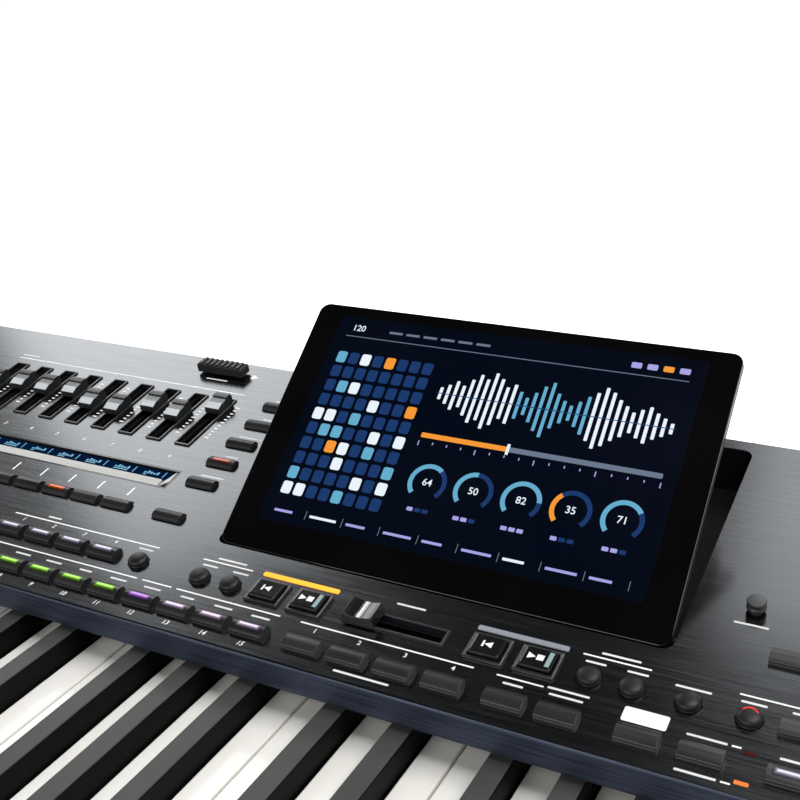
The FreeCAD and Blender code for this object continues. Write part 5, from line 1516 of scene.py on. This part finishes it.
    def strip_marks(self) -> None:
        """Lights small plain bars on the strip screen, one group to a slider."""
        low, high = self.lens_top - self.mark_sink, self.lens_top + self.mark_rise
        marks = self.controls.mould()
        s0 = self.controls.one("strip_screen").low.y + self.marks_inset
        foot = s0 + self.meter_foot
        left, right, depth = self.divider
        for index, rim in enumerate(self.controls.rims):
            start = rim.x - self.meter_left
            for i in range(self.meter_bars):
                x = start + self.meter_pitch * i
                height = self.meter_height + self.meter_step * ((index * 3 + i * 2) % 3)
                marks.slab(x, x + self.meter_width, foot, foot + height, low, high)
            marks.slab(start, start + self.dash_unit * (1 + index % 4), s0, s0 + self.dash_depth, low, high)
            marks.slab(rim.x + left, rim.x + right, s0, s0 + depth, low, high)
        marks.piece("strip_marks", "body", SCREEN_CYAN, "screen")


@dataclass
class TouchDisplay:
    """Tilting display with a plain picture of steps, levels, a time line and gauges."""

    plane: Plane
    shell_edge: float = 0.8
    glass_edge: float = 0.3
    well_edge: float = 0.4
    rise: float = 0.05
    corner: float = 0.6
    cell_corner: float = 5.0
    cell_corner_steps: int = 2
    margin: float = 6.0
    column_gap: float = 5.0
    steps_foot: float = 14.0
    levels_middle: float = 76.0
    time_foot: float = 53.0
    gauges_middle: float = 32.0
    foot_line_foot: float = 5.0
    figure_size: float = 3.6
    header_rule: Pair = (11.0, 10.6)
    header_number: tuple[str, float, float] = ("120", 5.5, 6.2)
    lamp_count: int = 4
    lit_lamp: int = 2
    lamp_reach: float = 26.0
    lamp_pitch: float = 7.0
    lamp_width: float = 4.6
    lamp_band: Pair = (7.6, 4.8)
    dash_count: int = 6
    dash_ends: Pair = (22.0, 29.0)
    dash_pitch: float = 9.0
    dash_band: Pair = (6.9, 5.7)
    step_pitch: float = 6.5
    step_stretch: float = 1.2
    step_gaps: Pair = (1.5, 1.7)
    step_columns: int = 8
    step_rows: int = 10
    levels: tuple[int, ...] = (5, 8, 12, 9, 15, 20, 17, 23, 19, 13, 16, 11, 7, 12, 18, 22, 14, 9, 6, 10, 15, 19, 24,
                               21, 16, 12, 8, 11, 14, 10, 7, 4)
    level_unit: float = 0.62
    level_start: float = 0.25
    level_width: float = 0.45
    cyan_levels: range = range(11, 21)
    centre_half: float = 0.2
    time_now: float = 0.38
    time_depth: float = 2.4
    time_mark: Triple = (0.7, 1.4, 3.8)
    time_ticks: int = 16
    time_tick_half: float = 0.25
    time_tick_gap: float = 1.8
    time_tick_feet: Pair = (3.0, 4.2)
    long_tick_every: int = 4
    gauges: tuple[int, ...] = (64, 50, 82, 35, 71)
    orange_gauge: int = 3
    gauge_radii: Pair = (6.9, 9.0)
    gauge_ends: Pair = (-45.0, 225.0)
    gauge_lamps: int = 3
    gauge_lamp_ends: Pair = (-5.0, -2.2)
    gauge_lamp_pitch: float = 3.6
    gauge_lamp_band: Pair = (14.2, 12.4)
    foot_dashes: int = 9
    white_dashes: tuple[int, ...] = (1, 6)
    foot_dash_ends: Triple = (1.0, 8.0, 4.0)
    foot_dash_depth: float = 1.2
    foot_divider: tuple[float, float, float, float] = (1.2, 0.9, 1.4, 2.8)
    layers: dict[str, Mould] = field(default_factory=dict)

    def build(self) -> None:
        """Dresses the display and draws its picture."""
        dress("display_housing", DISPLAY_SHELL, self.shell_edge)
        dress("display_glass", TOUCH_GLASS, self.glass_edge)
        dress("lcd_panel", SCREEN_NAVY)
        dress("display_well", WELL_PLASTIC, self.well_edge)
        self.picture()

    def layer(self, name: str) -> Mould:
        """Gives the mould that gathers one colour of the picture."""
        return self.layers.setdefault(name, Mould(self.plane))

    def put(self, name: str, outline: Outline, level: int) -> None:
        """Adds a flat shape of one colour to the picture, on a level over the glass."""
        self.layer(name).prism(outline, (level - 1) * self.rise, level * self.rise)

    def cell(self, name: str, x0: float, x1: float, s0: float, s1: float, level: int = 2) -> None:
        """Adds a small rounded block of one colour between its edges."""
        radius = min(x1 - x0, s1 - s0) / self.cell_corner
        self.put(name, rounded_rectangle(x0, x1, s0, s1, radius, self.cell_corner_steps), level)

    def picture(self) -> None:
        """Draws the whole picture inside the liquid crystal panel's window."""
        window = islands("lcd_panel", self.plane)[0]
        x0, x1, s0, s1 = window.low.x, window.high.x, window.low.y, window.high.y
        self.put("navy", rounded_rectangle(x0, x1, s0, s1, self.corner), 1)
        left, right = x0 + self.margin, x1 - self.margin
        split = left + self.step_columns * self.step_pitch + self.column_gap
        self.header(left, right, s1)
        self.steps(left, s0 + self.steps_foot)
        self.level_bars(split, right, s0 + self.levels_middle)
        self.time_line(split, right, s0 + self.time_foot)
        self.gauge_row(split, right, s0 + self.gauges_middle)
        self.foot_line(left, right, s0 + self.foot_line_foot)
        finishes = {"navy": SCREEN_NAVY, "blue": SCREEN_BLUE, "cyan": SCREEN_CYAN, "white": SCREEN_WHITE,
                    "grey": SCREEN_GREY, "orange": SCREEN_ORANGE, "lilac": SCREEN_LILAC}
        for name, mould in self.layers.items():
            mould.piece(f"picture_{name}", "display", finishes[name], "screen")

    def header(self, x0: float, x1: float, s1: float) -> None:
        """Draws the top line with a number and small lamps.

        Args:
            x0, x1: sides of the picture.
            s1: top edge of the window.
        """
        self.cell("grey", x0, x1, s1 - self.header_rule[0], s1 - self.header_rule[1])
        text, right, down = self.header_number
        self.layer("white").numeral(text, x0 + right, s1 - down, self.figure_size, 2 * self.rise)
        for i in range(self.lamp_count):
            x = x1 - self.lamp_reach + self.lamp_pitch * i
            self.cell("orange" if i == self.lit_lamp else "lilac", x, x + self.lamp_width,
                      s1 - self.lamp_band[0], s1 - self.lamp_band[1])
        for i in range(self.dash_count):
            start, end = (x0 + edge + self.dash_pitch * i for edge in self.dash_ends)
            self.cell("grey", start, end, s1 - self.dash_band[0], s1 - self.dash_band[1])

    def steps(self, x0: float, s0: float) -> None:
        """Draws the grid of small squares on the left.

        Args:
            x0, s0: its lower left corner.
        """
        wide, tall = self.step_pitch, self.step_pitch * self.step_stretch
        for rank in range(self.step_rows):
            for column in range(self.step_columns):
                pick = (3 * column + 5 * rank + column * rank) % 11
                name = {0: "white", 1: "cyan", 3: "white", 5: "orange" if rank % 3 == 0 else "cyan"}.get(pick, "blue")
                x, s = x0 + wide * column, s0 + tall * rank
                self.cell(name, x, x + wide - self.step_gaps[0], s, s + tall - self.step_gaps[1])

    def level_bars(self, x0: float, x1: float, middle: float) -> None:
        """Draws a row of thin mirrored level bars about a centre line.

        Args:
            x0, x1: ends of the row.
            middle: the centre line.
        """
        pitch = (x1 - x0) / len(self.levels)
        for i, height in enumerate(self.levels):
            x, half = x0 + pitch * (i + self.level_start), self.level_unit * height
            self.cell("cyan" if i in self.cyan_levels else "white", x, x + self.level_width * pitch,
                      middle - half, middle + half)
        self.cell("blue", x0, x1, middle - self.centre_half, middle + self.centre_half, 3)

    def time_line(self, x0: float, x1: float, s: float) -> None:
        """Draws the orange time line with its ticks and a mark at the present place.

        Args:
            x0, x1: ends of the line.
            s: its lower edge.
        """
        now = x0 + self.time_now * (x1 - x0)
        self.cell("orange", x0, now, s, s + self.time_depth)
        self.cell("grey", now, x1, s, s + self.time_depth)
        half, below, above = self.time_mark
        self.cell("white", now - half, now + half, s - below, s + above, 3)
        for i, x in enumerate(spaced(x0, x1, self.time_ticks)):
            foot = self.time_tick_feet[i % self.long_tick_every == 0]
            self.cell("lilac", x - self.time_tick_half, x + self.time_tick_half, s - foot, s - self.time_tick_gap)

    def gauge_row(self, x0: float, x1: float, s: float) -> None:
        """Draws the row of ring gauges with a number inside each.

        Args:
            x0, x1: ends of the row.
            s: middle of the gauges.
        """
        pitch = (x1 - x0) / len(self.gauges)
        right_end, left_end = self.gauge_ends
        for i, value in enumerate(self.gauges):
            x = x0 + pitch * (i + 0.5)
            end = left_end - (left_end - right_end) * value / 100
            self.put("blue", arc_band(x, s, *self.gauge_radii, right_end, left_end), 2)
            self.put("orange" if i == self.orange_gauge else "cyan",
                     arc_band(x, s, *self.gauge_radii, end, left_end), 3)
            self.layer("white").numeral(str(value), x, s, self.figure_size, 2 * self.rise)
            for k in range(self.gauge_lamps):
                start, stop = (x + edge + self.gauge_lamp_pitch * k for edge in self.gauge_lamp_ends)
                self.cell("lilac" if k < 1 + i % self.gauge_lamps else "blue", start, stop,
                          s - self.gauge_lamp_band[0], s - self.gauge_lamp_band[1])

    def foot_line(self, x0: float, x1: float, s: float) -> None:
        """Draws the row of dashes along the bottom.

        Args:
            x0, x1: ends of the row.
            s: its lower edge.
        """
        pitch = (x1 - x0) / self.foot_dashes
        start, even_end, odd_end = self.foot_dash_ends
        left, right, below, above = self.foot_divider
        for i in range(self.foot_dashes):
            x = x0 + pitch * i
            self.cell("white" if i in self.white_dashes else "lilac", x + start,
                      x + pitch - (odd_end if i % 2 else even_end), s, s + self.foot_dash_depth)
            self.cell("grey", x + pitch - left, x + pitch - right, s - below, s + above)


@dataclass
class Keys:
    """Piano keys."""

    edge: float = 0.7

    def build(self) -> None:
        """Gives white and black keys their finishes."""
        whites = ["white_keys"] + [f"key_{note}" for note in "cdefgab"]
        blacks = ["black_keys"] + [f"key_{note}_sharp" for note in "cdfga"]
        for nodes, finish in ((whites, WHITE_KEY), (blacks, BLACK_KEY_PAINTED_SHEEN)):
            for node in nodes:
                dress(node, finish, self.edge)


@dataclass
class Fittings:
    """Knobs, the joystick, the rear lock and the rear sockets."""

    controls: Controls
    knob_edge: float = 0.4
    socket_edge: float = 0.3
    unlock_stem: Profile = ((0.0, -1.2), (2.75, -1.2), (2.75, 1.5), (3.8, 1.7), (3.85, 2.5), (3.3, 3.2), (3.3, 3.6),
                            (3.7, 4.2))
    unlock_crown: Profile = ((3.75, 0.5), (3.5, 0.1), (3.1, 0.0), (0.0, 0.15))
    grip_foot: float = 0.8
    grip_groove: float = 0.5
    grip_edge: float = 0.12
    dial_radius: float = 27.0
    dial_drop: float = 2.1
    dial_ribs: int = 64
    volume_radius: float = 9.2
    volume_drop: float = 4.0
    volume_ribs: int = 30
    pointer_half: float = 0.5
    pointer_ends: Pair = (1.5, 6.4)
    pointer_heights: Pair = (-0.1, 0.06)
    dome_radius: float = 25.6
    dome_wall: float = 1.8
    dome_foot: float = 6.5
    dome_steps: int = 14
    dome_neck: float = 1.2
    neck_radius: float = 4.0
    neck_rise: float = 1.2
    neck_flare: Profile = ((0.0, -2.0), (0.8, -0.8))
    grip_radius: float = 8.0
    grip_length: float = 16.0
    grip_base: Profile = ((-0.8, 0.0), (0.0, 1.2))
    grip_waist: float = 0.6
    grip_top: Profile = ((0.0, -2.4), (-0.6, -0.9), (-2.0, -0.1))
    stick_steps: int = 48
    rib_count: int = 8
    rib_inset: float = 3.0
    rib_half: Pair = (0.8, 3.2)
    rib_heights: Pair = (-0.2, 0.7)
    rib_edge: float = 0.25
    jack_ring: Profile = ((3.2, -6.0), (4.4, -0.4), (4.4, 0.15), (3.5, 0.15), (2.8, -6.0))
    pin: Profile = ((0.0, -8.5), (0.7, -8.5), (0.7, -3.2), (0.4, -2.8), (0.0, -2.8))
    pin_circle: float = 4.0
    pin_angles: range = range(0, 181, 45)
    pin_steps: int = 12

    def build(self) -> None:
        """Dresses the fittings and adds their turned and ribbed parts."""
        for node in ("rear_lock_slide", "data_dial", "volume_knob"):
            dress(node, ROUND_BUTTON, self.knob_edge)
        dress("joystick_gimbal", WELL_PLASTIC)
        for node in ("rear_sockets", "power_inlet", "power_switch"):
            dress(node, GLOSS_BLACK, self.socket_edge)
        self.unlock()
        self.grips()
        self.joystick()
        self.lock_ribs()
        self.contacts()

    def unlock(self) -> None:
        """Turns the mushroom knob beside the display."""
        knob = self.controls.one("unlock_knob")
        head = self.controls.mould()
        head.turn([*self.unlock_stem, *((r, knob.top - drop) for r, drop in self.unlock_crown)], knob.x, knob.s)
        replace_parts(head.piece("unlock_mushroom", "unlock_knob", KNOB_PAINTED_TOP_LIGHT, "button_plastic"), "unlock_knob")

    def grips(self) -> None:
        """Puts the ribbed grips round the data dial and the volume knob, and the knob's pointer."""
        for name, node, radius, ribs, drop in (
                ("dial_grip", "data_dial", self.dial_radius, self.dial_ribs, self.dial_drop),
                ("volume_grip", "volume_knob", self.volume_radius, self.volume_ribs, self.volume_drop)):
            knob = self.controls.one(node)
            grip = self.controls.mould()
            grip.prism(gear(knob.x, knob.s, radius, self.grip_groove, ribs), self.grip_foot, knob.top - drop)
            grip.piece(name, node, ROUND_BUTTON, "button_plastic", self.grip_edge)
        knob, half = self.controls.one("volume_knob"), self.pointer_half
        start, end = (knob.s + place for place in self.pointer_ends)
        low, high = (knob.top + height for height in self.pointer_heights)
        mark = self.controls.mould()
        mark.slab(knob.x - half, knob.x + half, start, end, low, high)
        mark.piece("volume_pointer", "volume_knob", PRINT_WHITE, "button_plastic")

    def joystick(self) -> None:
        """Turns the joystick's dome, neck and grip."""
        pivot = Vector(joint_named("joystick_fore_aft")["pos_m"])
        deck = Plane(pivot, Vector((0.0, 1.0, 0.0)), Vector((0.0, 0.0, 1.0)))
        top = islands("joystick_lever", deck)[0].top
        base, neck, grip = top - self.grip_length, self.neck_radius, self.grip_radius
        start = math.asin(self.dome_foot / self.dome_radius)
        end = math.acos(self.dome_neck * neck / self.dome_radius)
        angles = spaced(start, end, self.dome_steps)
        dome = [(self.dome_radius * math.cos(a), self.dome_radius * math.sin(a)) for a in angles]
        hollow = self.dome_radius - self.dome_wall
        inside = [(hollow * math.cos(a), hollow * math.sin(a)) for a in reversed(angles)]
        handle = [(neck, dome[-1][1] + self.neck_rise), *((neck + r, base + h) for r, h in self.neck_flare),
                  *((grip + r, base + h) for r, h in self.grip_base),
                  (grip - self.grip_waist, base + 0.5 * self.grip_length),
                  *((grip + r, top + h) for r, h in self.grip_top), (0, top)]
        stick = Mould(deck)
        stick.turn([(0, hollow), *inside, *dome, *handle], 0.0, 0.0, self.stick_steps)
        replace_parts(stick.piece("joystick_turned", "joystick_lever", ROUND_BUTTON, "button_plastic"), "joystick_lever")

    def lock_ribs(self) -> None:
        """Puts finger ribs on the rear lock slide."""
        slide = self.controls.one("rear_lock_slide")
        wide, deep = self.rib_half
        low, high = (slide.top + height for height in self.rib_heights)
        ribs = self.controls.mould()
        for x in spaced(slide.low.x + self.rib_inset, slide.high.x - self.rib_inset, self.rib_count - 1):
            ribs.slab(x - wide, x + wide, slide.s - deep, slide.s + deep, low, high)
        ribs.piece("lock_ribs", "rear_lock_slide", BUTTON, "button_plastic", self.rib_edge)

    def contacts(self) -> None:
        """Puts the metal rings in the jacks and the pins in the round sockets."""
        rear = Plane(Vector((0.0, 0.0, 0.0)), Vector((0.0, 0.0, -1.0)), Vector((0.0, 1.0, 0.0)))
        rings, pins = Mould(rear), Mould(rear)
        for socket in islands("rear_sockets", rear):
            top = socket.top
            if socket.x > 0:
                rings.turn([(r, top + h) for r, h in self.jack_ring], socket.x, socket.s)
                continue
            for angle in map(math.radians, self.pin_angles):
                x, s = socket.x + self.pin_circle * math.cos(angle), socket.s - self.pin_circle * math.sin(angle)
                pins.turn([(r, top + h) for r, h in self.pin], x, s, self.pin_steps)
        rings.piece("jack_rings", "body", ZINC, "dark_trim")
        pins.piece("socket_pins", "body", BRASS, "dark_trim")


@dataclass(frozen=True)
class Lamp:
    """A soft rectangular lamp.

    Args:
        name: the lamp's name.
        place: where it hangs, in metres.
        width, height: its sides, in metres.
        power: watts.
    """

    name: str
    place: Triple
    width: float
    height: float
    power: float


@dataclass
class Studio:
    """Floor, lamps and camera."""

    panel: Plane
    focal_length: float = 52.66
    sensor: float = 36.0
    clip: Pair = (0.01, 100.0)
    camera_place: Triple = (193.1, -312.2, 264.0)
    camera_look: Triple = (-0.44141, 0.81483, -0.37579)
    camera_right: Triple = (0.88595, 0.46218, -0.03850)
    floor_half: float = 9000.0
    floor_tone: float = 0.82
    floor_roughness: float = 0.9
    floor_light: float = 0.78
    wall_top: float = 0.40
    ceiling_edge: float = 0.72
    ceiling_light: float = 0.025
    aim: Pair = (0.0, 60.0)
    lamps: tuple[Lamp, ...] = (Lamp("lamp_rear_left", (-1.62, 1.52, 1.53), 0.80, 0.92, 8.6),
                               Lamp("lamp_rear_right", (0.12, 1.64, 1.70), 0.75, 0.75, 5.0),
                               Lamp("lamp_overhead", (0.85, 0.2, 2.1), 1.7, 1.5, 50.0),
                               Lamp("lamp_front", (-0.6, -1.9, 1.35), 1.2, 1.2, 18.0))

    def build(self) -> None:
        """Sets up the camera, the floor, the walls and the lamps."""
        self.camera()
        self.floor()
        self.world()
        for lamp in self.lamps:
            self.hang(lamp)

    def camera(self) -> None:
        """Sets the camera at the photograph's place, measured from the panel's fold."""
        data = bpy.data.cameras.new("camera")
        data.lens, data.sensor_width = self.focal_length, self.sensor
        data.clip_start, data.clip_end = self.clip
        look = Vector(self.camera_look).normalized()
        right = Vector(self.camera_right).normalized()
        up = right.cross(look)
        holder = new_object("camera", data)
        place = self.panel.origin + MM * Vector(self.camera_place)
        turn = Matrix((right, up, -look)).transposed().to_4x4()
        holder.matrix_world = Matrix.Translation(place) @ turn
        bpy.context.scene.camera = holder

    def background_share(self, tree: Tree) -> Socket:
        """Adds nodes that are 1 on rays that see the backdrop.

        Args:
            tree: the material's node tree.

        Returns:
            The socket with that value.
        """
        path = node_of(tree, "LightPath", {}).outputs
        seen = node_of(tree, "Math", {0: path["Is Camera Ray"], 1: path["Is Glossy Ray"]}, operation="MAXIMUM")
        either = node_of(tree, "Math", {0: seen.outputs["Value"], 1: path["Is Transmission Ray"]},
                         operation="MAXIMUM")
        return either.outputs["Value"]

    def floor(self) -> None:
        """Lays the pale floor, which is clear seen from below."""
        half = self.floor_half * MM
        mesh = bpy.data.meshes.new("floor")
        corners = [(-half, -half, 0), (half, -half, 0), (half, half, 0), (-half, half, 0)]
        mesh.from_pydata(corners, [], [(0, 1, 2, 3)])
        holder = new_object("floor", mesh)
        material = bpy.data.materials.new("floor_pale")
        material.use_nodes = True
        tree = material.node_tree
        strength = node_of(tree, "Math", {0: self.background_share(tree), 1: self.floor_light}, operation="MULTIPLY")
        side = node_of(tree, "NewGeometry", {})
        above = node_of(tree, "Math", {0: 1.0, 1: side.outputs["Backfacing"]}, operation="SUBTRACT")
        wire(tree, tree.nodes["Principled BSDF"], {
            "Base Color": (self.floor_tone, self.floor_tone, self.floor_tone, 1.0),
            "Roughness": self.floor_roughness, "Specular IOR Level": 0.0, "Emission Color": (1.0, 1.0, 1.0, 1.0),
            "Emission Strength": strength.outputs["Value"], "Alpha": above.outputs["Value"]})
        mesh.materials.append(material)

    def world(self) -> None:
        """Makes white walls all round and a dark ceiling."""
        world = bpy.data.worlds.new("studio")
        bpy.context.scene.world = world
        world.use_nodes = True
        tree = world.node_tree
        place = node_of(tree, "TexCoord", {})
        split = node_of(tree, "SeparateXYZ", {"Vector": place.outputs["Generated"]})
        strength = node_of(tree, "MapRange", {"Value": split.outputs["Z"], "From Min": self.wall_top,
                                              "From Max": self.ceiling_edge, "To Min": 1.0,
                                              "To Max": self.ceiling_light}, interpolation_type="SMOOTHSTEP")
        wire(tree, tree.nodes["Background"], {"Color": (1.0, 1.0, 1.0, 1.0), "Strength": strength.outputs["Result"]})

    def hang(self, lamp: Lamp) -> None:
        """Hangs one lamp and turns it to the panel.

        Args:
            lamp: the lamp.
        """
        data = bpy.data.lights.new(lamp.name, "AREA")
        data.shape = "RECTANGLE"
        data.size, data.size_y, data.energy = lamp.width, lamp.height, lamp.power
        holder = new_object(lamp.name, data)
        holder.location = lamp.place
        towards = self.panel.at(*self.aim) - Vector(lamp.place)
        holder.rotation_euler = towards.to_track_quat("-Z", "Y").to_euler()


def main() -> None:
    """Builds every sub-assembly in order."""
    logging.basicConfig(level=logging.INFO)
    bpy.context.scene.view_settings.view_transform = "Standard"
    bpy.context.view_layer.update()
    panel = panel_plane()
    controls = Controls(panel)
    for assembly in (Studio(panel), Casework(), PanelPrint(controls), ButtonRows(controls), Sliders(controls),
                     TouchDisplay(display_plane(panel)), Keys(), Fittings(controls)):
        LOG.info("building %s", type(assembly).__name__)
        assembly.build()


if __name__ == "__main__":
    main()
